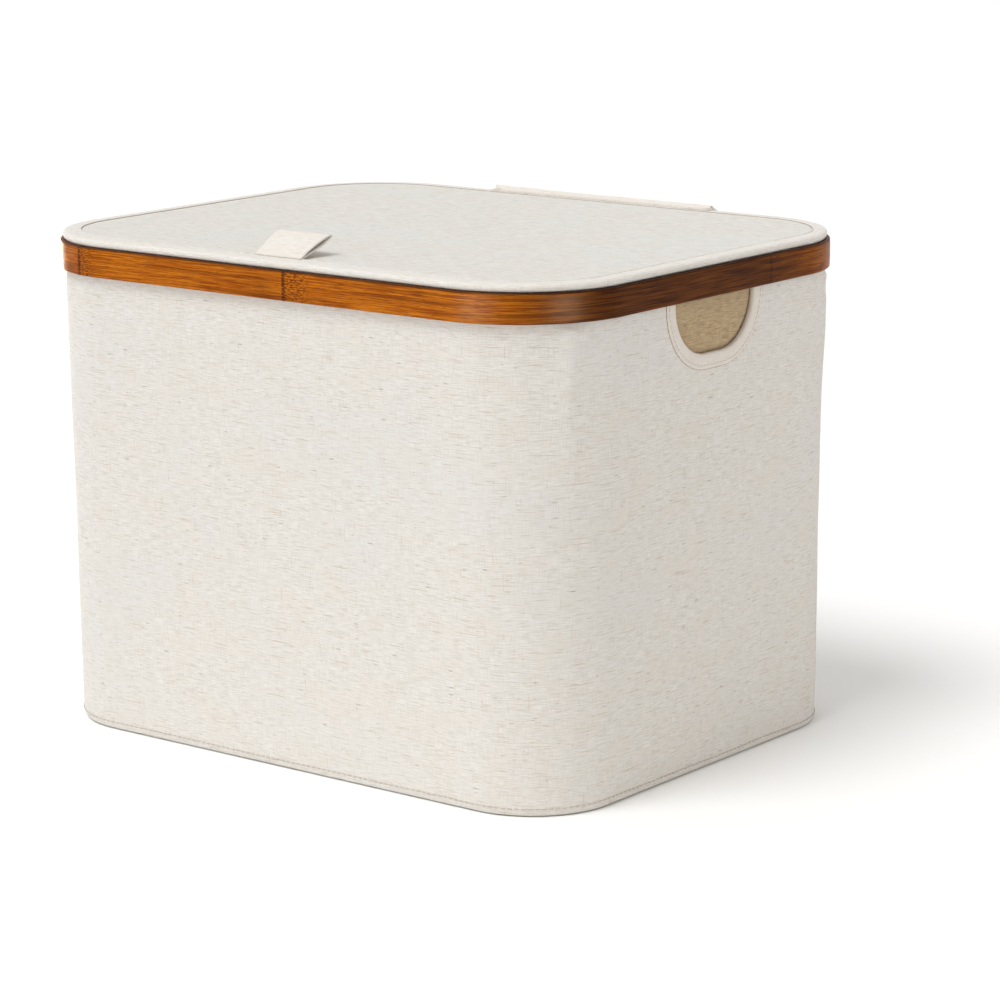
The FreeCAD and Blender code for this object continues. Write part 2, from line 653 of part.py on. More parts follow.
tape("TapeAnchor", "tape_anchor", [
    ("leg_in", "leg_low"), ("leg_out", "leg_low"), ("leg_out", "over_low"),
    ("fold_y", "over_low"), ("fold_y", "over_high"), ("leg_in", "over_high")])
tape("TapeLink", "tape_link", [
    ("link_front", "link_low"), ("link_back", "link_low"),
    ("link_back", "link_high"), ("link_front", "link_high")])
tape("TapeHem", "tape_hem", [
    ("hem_front", "hem_low"), ("hem_bend", "hem_low"), ("tip_low_y", "tip_low_z"),
    ("tip_high_y", "tip_high_z"), ("hem_bend_up", "hem_high"), ("hem_front", "hem_high")])


def bar(name, x, y, z, lx, ly, lz):
    """A run of thread: a small block, its centre and sides given by expressions."""
    b = doc.addObject("Part::Box", name)
    b.setExpression("Length", lx)
    b.setExpression("Width", ly)
    b.setExpression("Height", lz)
    b.setExpression("Placement.Base.x", "(%s) - (%s) / 2" % (x, lx))
    b.setExpression("Placement.Base.y", "(%s) - (%s) / 2" % (y, ly))
    b.setExpression("Placement.Base.z", "(%s) - (%s) / 2" % (z, lz))
    return b


def group(node, name, parts):
    c = doc.addObject("Part::Compound", name)
    c.Links = parts
    doc.recompute()
    keep(node, c)


UP = "Dims.stitch_up"
SW = "Dims.stitch_w"
INNER = "Dims.leg_in - Dims.stitch_up / 2 - 0.02"
group("tape_anchor_stitching", "TapeAnchorStitching", [
    bar("AnchorRowLow", "0", INNER, "Dims.leg_low + 3", "Dims.tape_w - 12", UP, SW),
    bar("AnchorRowHigh", "0", INNER, "Dims.leg_low + 12", "Dims.tape_w - 12", UP, SW),
    bar("AnchorTackLeft", "-Dims.tape_w / 2 + 3", INNER, "Dims.leg_low + 7.5", "1.6", UP, "11"),
    bar("AnchorTackRight", "Dims.tape_w / 2 - 3", INNER, "Dims.leg_low + 7.5", "1.6", UP, "11"),
])
TOP = "Dims.hem_high + Dims.stitch_up / 2 + 0.02"
MID = "(Dims.hem_front + Dims.hem_bend_up) / 2"
group("tape_hem_stitching", "TapeHemStitching", [
    bar("HemRow", "0", "Dims.hem_front + 1.2", TOP, "Dims.tape_w - 12", SW, UP),
    bar("HemTackLeft", "-Dims.tape_w / 2 + 3", MID, TOP, "1.6", "Dims.hem_bend_up - Dims.hem_front - 2", UP),
    bar("HemTackRight", "Dims.tape_w / 2 - 3", MID, TOP, "1.6", "Dims.hem_bend_up - Dims.hem_front - 2", UP),
])

# ---------------------------------------------------------------- pull tab
# A folded loop: two layers joined by a round end, drawn level and then
# turned up about its seam.
body = new_body("PullTab")
sk = sketch_on(body, "TabProfile", "YZ_Plane")
h = val("tab_half")
e = val("tab_slit")
t = val("tab_tip")
se = val("tab_slit_end")
C = Sketcher.Constraint
up = V(0, 0, 1)
sk.addGeometry([
    Part.LineSegment(V(0, -h, 0), V(t, -h, 0)),
    Part.ArcOfCircle(Part.Circle(V(t, 0, 0), up, h), -math.pi / 2, math.pi / 2),
    Part.LineSegment(V(t, h, 0), V(0, h, 0)),
    Part.ArcOfCircle(Part.Circle(V(0, 0, 0), up, h), math.pi / 2, 1.5 * math.pi),
], False)
sk.addConstraint([
    C("Tangent", 0, 2, 1, 1), C("Tangent", 1, 2, 2, 1),
    C("Tangent", 2, 2, 3, 1), C("Tangent", 3, 2, 0, 1),
    C("Horizontal", 0), C("Coincident", 3, 3, -1, 1)])
n = sk.addConstraint(C("Radius", 3, h))
sk.setExpression("Constraints[%d]" % n, "Dims.tab_half")
n = sk.addConstraint(C("DistanceX", 3, 3, 1, 3, t))
sk.setExpression("Constraints[%d]" % n, "Dims.tab_tip")
doc.recompute()
pad(body, sk, "tab_w", "TabPad", both=True)
sk = sketch_on(body, "TabSlit", "YZ_Plane")
add_poly(sk, [("tab_slit_from", "-tab_slit"), ("tab_slit_end", "-tab_slit"),
              ("tab_slit_end", "tab_slit"), ("tab_slit_from", "tab_slit")])
doc.recompute()
pocket(body, sk, "TabSlitCut", both=True)
body.setExpression("Placement.Base.y", "-Dims.tab_y")
body.setExpression("Placement.Base.z", "Dims.tab_z")
body.setExpression("Placement.Rotation.Axis.x", "1")
body.setExpression("Placement.Rotation.Axis.y", "0")
body.setExpression("Placement.Rotation.Axis.z", "0")
body.setExpression("Placement.Rotation.Angle", "Dims.tab_rise")
doc.recompute()
keep("pull_tab", body)

# ---------------------------------------------------------------- output
doc.recompute()
bad = []
for o in doc.Objects:
    if "Invalid" in o.State or "Error" in o.State:
        bad.append("%s %s" % (o.Name, o.State))
for node, obj in made:
    sh = obj.Shape
    if sh.isNull() or not sh.isValid() or not sh.Solids:
        bad.append("%s: shape is not good" % node)
    elif sh.Volume <= 0:
        bad.append("%s: no volume" % node)
if bad:
    raise RuntimeError("; ".join(bad))
for node, obj in made:
    sh = obj.Shape
    sh.exportStep("parts/%s.step" % node)
    bb = sh.BoundBox
    print("%-24s %2d solid(s) %9.0f mm3  x %.2f..%.2f  y %.2f..%.2f  z %.2f..%.2f" % (
        node, len(sh.Solids), sh.Volume, bb.XMin, bb.XMax, bb.YMin, bb.YMax, bb.ZMin, bb.ZMax))
print(len(made), "parts")
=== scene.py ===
# Looks for the fabric storage box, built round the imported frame.
import math
import bpy
import bmesh
from mathutils import Matrix, Vector, noise


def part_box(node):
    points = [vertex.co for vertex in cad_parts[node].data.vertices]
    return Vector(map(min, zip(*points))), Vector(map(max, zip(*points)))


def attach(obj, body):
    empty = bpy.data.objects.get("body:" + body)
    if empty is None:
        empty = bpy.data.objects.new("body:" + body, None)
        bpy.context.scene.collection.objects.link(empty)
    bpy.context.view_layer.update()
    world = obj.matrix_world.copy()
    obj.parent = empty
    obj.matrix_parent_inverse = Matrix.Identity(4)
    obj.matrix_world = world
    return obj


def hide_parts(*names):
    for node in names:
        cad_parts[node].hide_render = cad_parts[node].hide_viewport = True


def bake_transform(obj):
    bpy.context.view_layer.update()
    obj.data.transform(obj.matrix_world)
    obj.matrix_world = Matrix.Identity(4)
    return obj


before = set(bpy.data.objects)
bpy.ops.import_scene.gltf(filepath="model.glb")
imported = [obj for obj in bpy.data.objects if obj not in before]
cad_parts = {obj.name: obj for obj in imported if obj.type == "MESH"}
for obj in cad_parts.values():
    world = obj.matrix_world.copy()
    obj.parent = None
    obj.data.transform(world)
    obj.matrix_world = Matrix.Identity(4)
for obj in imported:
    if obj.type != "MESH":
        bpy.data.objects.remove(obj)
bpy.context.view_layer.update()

MM = 0.001

# ------------------------------------------------------------------ sizes
rim_lo, rim_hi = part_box("bamboo_rim")
cov_lo, cov_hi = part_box("outer_cover")
bot_lo, bot_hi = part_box("outer_bottom")
lid_lo, lid_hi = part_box("lid_border")
bind_lo, bind_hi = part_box("top_binding")
WIDTH = rim_hi.x - rim_lo.x
DEPTH = rim_hi.y - rim_lo.y
RIM_TOP = rim_hi.z
RIM_LOW = rim_lo.z
RIM_R = 69 * MM
RIM_T = 3.4 * MM
TOP_W = cov_hi.x - cov_lo.x
TOP_D = cov_hi.y - cov_lo.y
TOP_R = RIM_R - RIM_T - 0.1 * MM
BASE_W = bot_hi.x - bot_lo.x + 2 * MM
BASE_D = bot_hi.y - bot_lo.y + 2 * MM
BASE_R = 54 * MM
WALL_TOP = cov_hi.z
HOLE_W = 78 * MM
HOLE_R = 31 * MM
HOLE_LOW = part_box("right_hole_facing")[0].z + 8.5 * MM
LID_W = lid_hi.x - lid_lo.x
LID_D = lid_hi.y - lid_lo.y
LID_R = RIM_R - 1.9 * MM
LID_LOW = lid_lo.z
LID_TOP = lid_hi.z
LID_MID = (LID_TOP + LID_LOW) / 2


def smooth(a, b, x):
    t = min(1.0, max(0.0, (x - a) / (b - a)))
    return t * t * (3 - 2 * t)


def lerp(a, b, t):
    return a + (b - a) * t


def ripple(p, scale, seed=0.0):
    return noise.noise(Vector((p[0] * scale + seed, p[1] * scale - seed,
                               p[2] * scale + 2 * seed)))


# ------------------------------------------------------------------ outlines
# A rounded rectangle from the middle of the back, round by the left, front
# and right. Each corner and side has its own number of steps, so outlines of
# different sizes match point for point.
STEPS = (44, 36, 62, 36, 88, 36, 62, 36, 44)


def outline(w, d, r, steps=STEPS):
    """(x, y, outward x, outward y, length so far, corner share or None)"""
    hx, hy = w / 2 - r, d / 2 - r
    pts = []

    def line(ax, ay, bx, by, nx, ny, n):
        for i in range(n):
            t = i / n
            pts.append((lerp(ax, bx, t), lerp(ay, by, t), nx, ny, None))

    def arc(cx, cy, a0, n, tag):
        for i in range(n):
            a = math.radians(a0 + 90 * i / n)
            pts.append((cx + r * math.cos(a), cy + r * math.sin(a),
                        math.cos(a), math.sin(a), (tag, 90 * i / n)))

    line(0, d / 2, -hx, d / 2, 0, 1, steps[0])
    arc(-hx, hy, 90, steps[1], "rear_left")
    line(-w / 2, hy, -w / 2, -hy, -1, 0, steps[2])
    arc(-hx, -hy, 180, steps[3], "front_left")
    line(-hx, -d / 2, hx, -d / 2, 0, -1, steps[4])
    arc(hx, -hy, 270, steps[5], "front_right")
    line(w / 2, -hy, w / 2, hy, 1, 0, steps[6])
    arc(hx, hy, 0, steps[7], "rear_right")
    line(hx, d / 2, 0, d / 2, 0, 1, steps[8])
    out, s = [], 0.0
    for i, p in enumerate(pts):
        if i:
            s += math.hypot(p[0] - pts[i - 1][0], p[1] - pts[i - 1][1])
        out.append((p[0], p[1], p[2], p[3], s, p[4]))
    total = s + math.hypot(pts[0][0] - pts[-1][0], pts[0][1] - pts[-1][1])
    return out, total


def inset_loop(w, d, r, inset):
    return outline(w - 2 * inset, d - 2 * inset, r - inset)[0]


def wall_at(z):
    t = z / WALL_TOP
    return (lerp(BASE_W, TOP_W, t), lerp(BASE_D, TOP_D, t), lerp(BASE_R, TOP_R, t))


# ------------------------------------------------------------------ meshes
def make(name, verts, faces, uvs=None, uv_name="cloth", shade=True):
    """uvs: one (u, v) per face corner, in metres, in the faces' order"""
    me = bpy.data.meshes.new(name)
    me.from_pydata([tuple(v) for v in verts], [], faces)
    if uvs is not None:
        layer = me.uv_layers.new(name=uv_name)
        flat = [c for uv in uvs for c in uv]
        layer.data.foreach_set("uv", flat)
    me.validate(clean_customdata=False)
    if shade:
        me.polygons.foreach_set("use_smooth", [True] * len(me.polygons))
    me.update()
    ob = bpy.data.objects.new(name, me)
    bpy.context.scene.collection.objects.link(ob)
    return ob


def outward(ob):
    """Turns the faces outward, so that each closed piece has a positive volume."""
    bm = bmesh.new()
    bm.from_mesh(ob.data)
    bmesh.ops.recalc_face_normals(bm, faces=bm.faces)
    bm.to_mesh(ob.data)
    bm.free()
    ob.data.update()
    return ob


def apply_all(ob):
    bpy.context.view_layer.update()
    dg = bpy.context.evaluated_depsgraph_get()
    me = bpy.data.meshes.new_from_object(
        ob.evaluated_get(dg), preserve_all_data_layers=True, depsgraph=dg)
    old = ob.data
    ob.modifiers.clear()
    ob.data = me
    bpy.data.meshes.remove(old)
    me.name = ob.name
    return ob


def thicken(ob, t, offset=-1.0):
    m = ob.modifiers.new("thick", "SOLIDIFY")
    m.thickness = t
    m.offset = offset
    m.use_even_offset = True
    m.use_rim = True
    return apply_all(ob)


def tube_rings(name, rings, lengths, total, uv_name="cloth"):
    """A closed band from matching loops: rings[k] is one closed loop of points
    and the rings follow each other round the band's section."""
    n = len(rings[0])
    m = len(rings)
    verts = [p for r in rings for p in r]
    faces, uvs = [], []
    heights, h = [0.0], 0.0
    for k in range(1, m + 1):
        h += (Vector(rings[k % m][0]) - Vector(rings[k - 1][0])).length
        heights.append(h)
    for k in range(m):
        k2 = (k + 1) % m
        for i in range(n):
            j = (i + 1) % n
            faces.append((k * n + i, k * n + j, k2 * n + j, k2 * n + i))
            u0, u1 = lengths[i], (lengths[j] if j else total)
            uvs += [(u0, heights[k]), (u1, heights[k]),
                    (u1, heights[k + 1]), (u0, heights[k + 1])]
    return outward(make(name, verts, faces, uvs, uv_name))


def grid(name, rows, us, vs, wrap=False, total=0.0, skip=None):
    """An open sheet. rows[k][i] are points, us[i] and vs[k] the cloth's own measure."""
    n = len(rows[0])
    verts = [p for r in rows for p in r]
    faces, uvs = [], []
    for k in range(len(rows) - 1):
        for i in range(n if wrap else n - 1):
            j = (i + 1) % n
            if skip and skip(k, i):
                continue
            faces.append((k * n + i, k * n + j, (k + 1) * n + j, (k + 1) * n + i))
            u0, u1 = us[i], (us[j] if j else total)
            uvs += [(u0, vs[k]), (u1, vs[k]), (u1, vs[k + 1]), (u0, vs[k + 1])]
    ob = make(name, verts, faces, uvs)
    bm = bmesh.new()
    bm.from_mesh(ob.data)
    loose = [v for v in bm.verts if not v.link_faces]
    bmesh.ops.delete(bm, geom=loose, context="VERTS")
    bm.to_mesh(ob.data)
    bm.free()
    return ob


def tube(faces, base, cuts, seg):
    """Faces of a tube of cuts rings with seg points each, closed at both ends."""
    for k in range(cuts - 1):
        for a in range(seg):
            b = (a + 1) % seg
            faces.append((base + k * seg + a, base + k * seg + b,
                          base + (k + 1) * seg + b, base + (k + 1) * seg + a))
    faces.append(tuple(base + a for a in range(seg))[::-1])
    faces.append(tuple(base + (cuts - 1) * seg + a for a in range(seg)))


def stitches(name, path, closed=False, length=2.4 * MM, gap=1.0 * MM,
             radius=0.24 * MM):
    """Separate thread stitches laid along a path of (point, outward) pairs."""
    sink, reach = 0.08 * MM, 0.4 * MM
    pts = [Vector(p) for p, _ in path]
    nrm = [Vector(q).normalized() for _, q in path]
    if closed:
        pts.append(pts[0])
        nrm.append(nrm[0])
    acc = [0.0]
    for a, b in zip(pts, pts[1:]):
        acc.append(acc[-1] + (b - a).length)

    def at(s):
        lo, hi = 0, len(acc) - 1
        while hi - lo > 1:
            mid = (lo + hi) // 2
            if acc[mid] <= s:
                lo = mid
            else:
                hi = mid
        t = (s - acc[lo]) / max(1e-9, acc[hi] - acc[lo])
        return pts[lo].lerp(pts[hi], t), nrm[lo].lerp(nrm[hi], t).normalized()

    verts, faces = [], []
    count = max(1, int(acc[-1] / (length + gap)))
    step = acc[-1] / count
    seg, cuts = 6, 5
    for c in range(count):
        s0 = c * step + (step - length) / 2
        base = len(verts)
        for k in range(cuts):
            f = k / (cuts - 1)
            p, nn = at(min(acc[-1], s0 + f * length))
            q, _ = at(min(acc[-1], s0 + f * length + reach))
            q0, _ = at(max(0.0, s0 + f * length - reach))
            along = q - q0
            along = along.normalized() if along.length > 1e-9 else Vector((1, 0, 0))
            across = along.cross(nn).normalized()
            bow = math.sin(math.pi * f)
            r = radius * (0.45 + 0.55 * math.sin(math.pi * (0.12 + 0.76 * f)))
            mid = p + nn * (radius * 0.75 * bow - sink * (1 - bow) + radius * 0.15)
            mid += across * (0.05 * MM * math.sin(c * 2.3))
            for a in range(seg):
                g = 2 * math.pi * a / seg
                verts.append(mid + across * (r * math.cos(g)) + nn * (r * 0.85 * math.sin(g)))
        tube(faces, base, cuts, seg)
    return outward(make(name, verts, faces))


def bar_tack(name, centre, along, across, out, length, width, rows=9, radius=0.22 * MM):
    """A dense block of thread that pins a tape's corner: rows of short stitches
    laid across the tack."""
    verts, faces = [], []
    c, a, b, o = Vector(centre), Vector(along), Vector(across), Vector(out)
    seg, cuts = 6, 5
    for r in range(rows):
        s = (r / (rows - 1) - 0.5) * length
        base = len(verts)
        for k in range(cuts):
            f = k / (cuts - 1)
            p = c + a * (s + 0.1 * MM * math.sin(r * 1.7 + k)) + b * ((f - 0.5) * width)
            p += o * (radius * (0.2 + 0.9 * math.sin(math.pi * f)))
            for g in range(seg):
                t = 2 * math.pi * g / seg
                verts.append(p + a * (radius * 1.2 * math.cos(t)) + o * (radius * math.sin(t)))
        tube(faces, base, cuts, seg)
    return outward(make(name, verts, faces))


def join(name, obs):
    """Several made pieces as one mesh."""
    bm = bmesh.new()
    for o in obs:
        bm.from_mesh(o.data)
    me = bpy.data.meshes.new(name)
    bm.to_mesh(me)
    bm.free()
    me.polygons.foreach_set("use_smooth", [True] * len(me.polygons))
    for o in obs:
        bpy.data.objects.remove(o)
    ob = bpy.data.objects.new(name, me)
    bpy.context.scene.collection.objects.link(ob)
    return ob


# ------------------------------------------------------------------ materials
class Nodes:
    def __init__(self, name):
        self.m = bpy.data.materials.new(name)
        self.m.use_nodes = True
        self.t = self.m.node_tree
        self.t.nodes.clear()
        self.out = self.t.nodes.new("ShaderNodeOutputMaterial")
        self.b = self.t.nodes.new("ShaderNodeBsdfPrincipled")
        self.t.links.new(self.b.outputs[0], self.out.inputs[0])

    def _in(self, sock, v):
        if v is None:
            return
        if isinstance(v, bpy.types.NodeSocket):
            self.t.links.new(v, sock)
        elif isinstance(v, (tuple, list)) and len(v) == 3 and sock.type == "RGBA":
            sock.default_value = (*v, 1.0)
        else:
            sock.default_value = v

    def sockets(self, **kw):
        """Sets numbers on the shader's own sockets."""
        for k, v in kw.items():
            self.b.inputs[k.replace("_", " ")].default_value = v

    def uv(self, name="cloth"):
        n = self.t.nodes.new("ShaderNodeUVMap")
        n.uv_map = name
        return n.outputs[0]

    def obj(self):
        return self.t.nodes.new("ShaderNodeTexCoord").outputs["Object"]

    def scale(self, vec, s, add=(0, 0, 0)):
        n = self.t.nodes.new("ShaderNodeVectorMath")
        n.operation = "MULTIPLY_ADD"
        self._in(n.inputs[0], vec)
        n.inputs[1].default_value = s
        n.inputs[2].default_value = add
        return n.outputs[0]

    def noise(self, vec, scale=1.0, detail=2.0, rough=0.5):
        n = self.t.nodes.new("ShaderNodeTexNoise")
        self._in(n.inputs["Vector"], vec)
        n.inputs["Scale"].default_value = scale
        n.inputs["Detail"].default_value = detail
        n.inputs["Roughness"].default_value = rough
        return n.outputs[0]

    def voronoi(self, vec):
        n = self.t.nodes.new("ShaderNodeTexVoronoi")
        self._in(n.inputs["Vector"], vec)
        n.inputs["Scale"].default_value = 1.0
        return n.outputs["Distance"], n.outputs["Color"]

    def wave(self, vec, direction, scale, distortion=0.0, detail=0.0):
        n = self.t.nodes.new("ShaderNodeTexWave")
        n.wave_type = "BANDS"
        n.bands_direction = direction
        self._in(n.inputs["Vector"], vec)
        n.inputs["Scale"].default_value = scale
        n.inputs["Distortion"].default_value = distortion
        n.inputs["Detail"].default_value = detail
        return n.outputs["Fac"]

    def math(self, op, a, b=None):
        n = self.t.nodes.new("ShaderNodeMath")
        n.operation = op
        self._in(n.inputs[0], a)
        self._in(n.inputs[1], b)
        return n.outputs[0]

    def add(self, a, b):
        return self.math("ADD", a, b)

    def mul(self, a, b):
        return self.math("MULTIPLY", a, b)

    def ramp(self, v, a, b, lo=0.0, hi=1.0):
        n = self.t.nodes.new("ShaderNodeMapRange")
        n.interpolation_type = "SMOOTHSTEP"
        self._in(n.inputs["Value"], v)
        n.inputs["From Min"].default_value = a
        n.inputs["From Max"].default_value = b
        n.inputs["To Min"].default_value = lo
        n.inputs["To Max"].default_value = hi
        return n.outputs["Result"]

    def mix(self, f, a, b):
        n = self.t.nodes.new("ShaderNodeMix")
        n.data_type = "RGBA"
        self._in(n.inputs["Factor"], f)
        self._in(n.inputs[6], a)
        self._in(n.inputs[7], b)
        return n.outputs[2]

    def split(self, vec):
        n = self.t.nodes.new("ShaderNodeSeparateXYZ")
        self._in(n.inputs[0], vec)
        return n.outputs

    def bump(self, h, strength, distance):
        n = self.t.nodes.new("ShaderNodeBump")
        self._in(n.inputs["Height"], h)
        n.inputs["Strength"].default_value = strength
        n.inputs["Distance"].default_value = distance
        return n.outputs[0]

    def set(self, **kw):
        for k, v in kw.items():
            self._in(self.b.inputs[k.replace("_", " ")], v)
        return self


def srgb(r, g, b):
    def f(c):
        c /= 255.0
        return c / 12.92 if c <= 0.04045 else ((c + 0.055) / 1.055) ** 2.4
    return (f(r), f(g), f(b))


def times(colour, by):
    return tuple(x * y for x, y in zip(colour, by))


# Threads and marks of a woven cloth: how often each noise repeats along the
# two ways of the cloth (per metre), where it starts, and its roughness.
WEAVE = {
    "weft": (120, 1650, (0, 0, 0), 0.6),
    "warp": (1650, 120, (7, 3, 0), 0.6),
    "grain": (820, 900, (1, 4, 0), 0.65),
}
MARKS = {
    "cloud": (34, 52, (3, 9, 0), 0.55),
    "drift": (9, 13, (13, 2, 0), 0.5),
    "long_slub": (44, 1250, (11, 5, 0), 0.5),
    "short_slub": (110, 1350, (2, 17, 0), 0.5),
    "dark_slub": (90, 1150, (31, 7, 0), 0.45),
    "warp_slub": (1300, 70, (23, 1, 0), 0.5),
}
# Flecks: size, start, the share of cells without one, and depth of colour.
FLECKS = (((75, 380, 1), (5, 8, 0), 0.86, 0.48), ((150, 560, 1), (1, 3, 0), 0.80, 0.38))
# A wave texture's scale for threads one pitch apart, times that pitch.
THREAD_WAVE = 0.31416


def cloth(name, base, slub, fleck, slubs=1.0, flecks=1.0, pitch=0.62 * MM,
          contrast=1.0, warm=1.0, coarse=1.0):
    """Plain-woven cloth: threads both ways of uneven thickness, slubs along
    the weft, small dark flecks, and slow warm and cool drifts of the yarn."""
    g = Nodes(name)
    p = g.uv()
    f = 1.0 / coarse
    n = {}
    for kind, by in ((WEAVE, f), (MARKS, 1)):
        for key, (a, b, start, rough) in kind.items():
            n[key] = g.noise(g.scale(p, (a * by, b * by, 1), start), rough=rough)
    k = 0.125 * contrast
    dark = tuple(x * (1 - k * y) for x, y in zip(base, (0.95, 1.0, 1.12)))
    lite = tuple(min(1.0, x * (1 + 0.065 * contrast)) for x in base)
    layers = (
        ("warp", 0.48, 0.70, 0.75, dark),
        ("grain", 0.54, 0.76, 0.30, tuple(x * (1 - 1.3 * k) for x in base)),
        ("cloud", 0.42, 0.68, 0.35 * warm, times(base, (0.985, 0.945, 0.895))),
        ("drift", 0.48, 0.66, 0.30 * warm, times(base, (0.955, 0.985, 1.01))),
        ("long_slub", 0.585, 0.74, 0.46 * slubs, slub),
        ("short_slub", 0.60, 0.76, 0.55 * slubs, slub),
        ("warp_slub", 0.61, 0.78, 0.34 * slubs, slub),
        ("dark_slub", 0.68, 0.80, 0.60 * slubs, fleck),
    )
    c = g.mix(g.ramp(n["weft"], 0.32, 0.62), dark, lite)
    for key, start, full, amount, colour in layers:
        c = g.mix(g.ramp(n[key], start, full, 0.0, amount), c, colour)
    for size, at, share, depth in FLECKS:
        dist, col = g.voronoi(g.scale(p, size, at))
        pick = g.ramp(g.split(col)[0], share, share + 0.06)
        spot = g.ramp(dist, 0.05, 0.20, 1.0, 0.0)
        c = g.mix(g.mul(g.mul(spot, pick), depth * flecks), c, fleck)
    wx = g.wave(p, "X", THREAD_WAVE / pitch, 0.6, 1.0)
    wy = g.wave(p, "Y", THREAD_WAVE / pitch, 0.6, 1.0)
    h = g.add(g.mul(n["weft"], 0.9), g.mul(n["warp"], 0.8))
    h = g.add(h, g.mul(n["grain"], 0.35))
    h = g.add(h, g.mul(g.add(wx, wy), 0.2))
    h = g.add(h, g.mul(g.ramp(n["short_slub"], 0.58, 0.76), 0.4))
    g.set(Base_Color=c, Roughness=0.92, Normal=g.bump(h, 0.5, 0.26 * MM))
    g.sockets(Sheen_Weight=0.12, Sheen_Roughness=0.6, Specular_IOR_Level=0.15)
    return g.m


CREAM = (0.737, 0.716, 0.680)
TAN = srgb(184, 160, 130)
FLECK = srgb(120, 97, 76)
canvas = cloth("canvas_cream", CREAM, TAN, FLECK)
lid_canvas = cloth("canvas_lid", (0.735, 0.722, 0.688), srgb(178, 158, 134), FLECK,
                   slubs=1.05, flecks=1.3, contrast=1.25, coarse=1.3)
border_canvas = cloth("canvas_border", (0.785, 0.76, 0.715), srgb(196, 174, 148),
                      FLECK, slubs=0.5, flecks=0.7)
facing_cloth = cloth("facing_cream", (0.76, 0.705, 0.65), srgb(206, 182, 158), FLECK,
                     slubs=0.3, flecks=0.3, pitch=0.45 * MM, contrast=0.6, warm=0.6)
lining = cloth("lining_khaki", srgb(183, 160, 126), srgb(132, 104, 72),
               srgb(74, 54, 38), slubs=0.9, flecks=1.2, contrast=2.5)
tape_cloth = cloth("tape_cotton", (0.80, 0.755, 0.70), srgb(214, 190, 166),
                   srgb(180, 150, 124), slubs=0.5, flecks=0.3, pitch=0.5 * MM,
                   contrast=0.7, warm=0.6)
tab_cloth = cloth("tab_cotton", (0.795, 0.76, 0.71), srgb(214, 190, 164),
                  srgb(184, 154, 126), slubs=0.6, flecks=0.35, pitch=0.5 * MM,
                  contrast=0.9, warm=0.8)
base_canvas = cloth("canvas_base", (0.72, 0.69, 0.64), TAN, FLECK, slubs=0.8)


def thread_material(name, col):
    g = Nodes(name)
    o = g.obj()
    n = g.noise(g.scale(o, (1, 1, 1)), scale=2400.0, detail=2.0)
    c = g.mix(g.ramp(n, 0.35, 0.65), tuple(x * 0.86 for x in col), col)
    g.set(Base_Color=c, Roughness=0.7, Normal=g.bump(n, 0.4, 0.06 * MM))
    g.sockets(Sheen_Weight=0.2)
    return g.m


thread = thread_material("thread_cream", (0.66, 0.59, 0.51))
thread_pale = thread_material("thread_pale", (0.74, 0.69, 0.62))
thread_dark = thread_material("thread_seam", (0.58, 0.51, 0.44))
thread_tan = thread_material("thread_tan", (0.42, 0.31, 0.22))


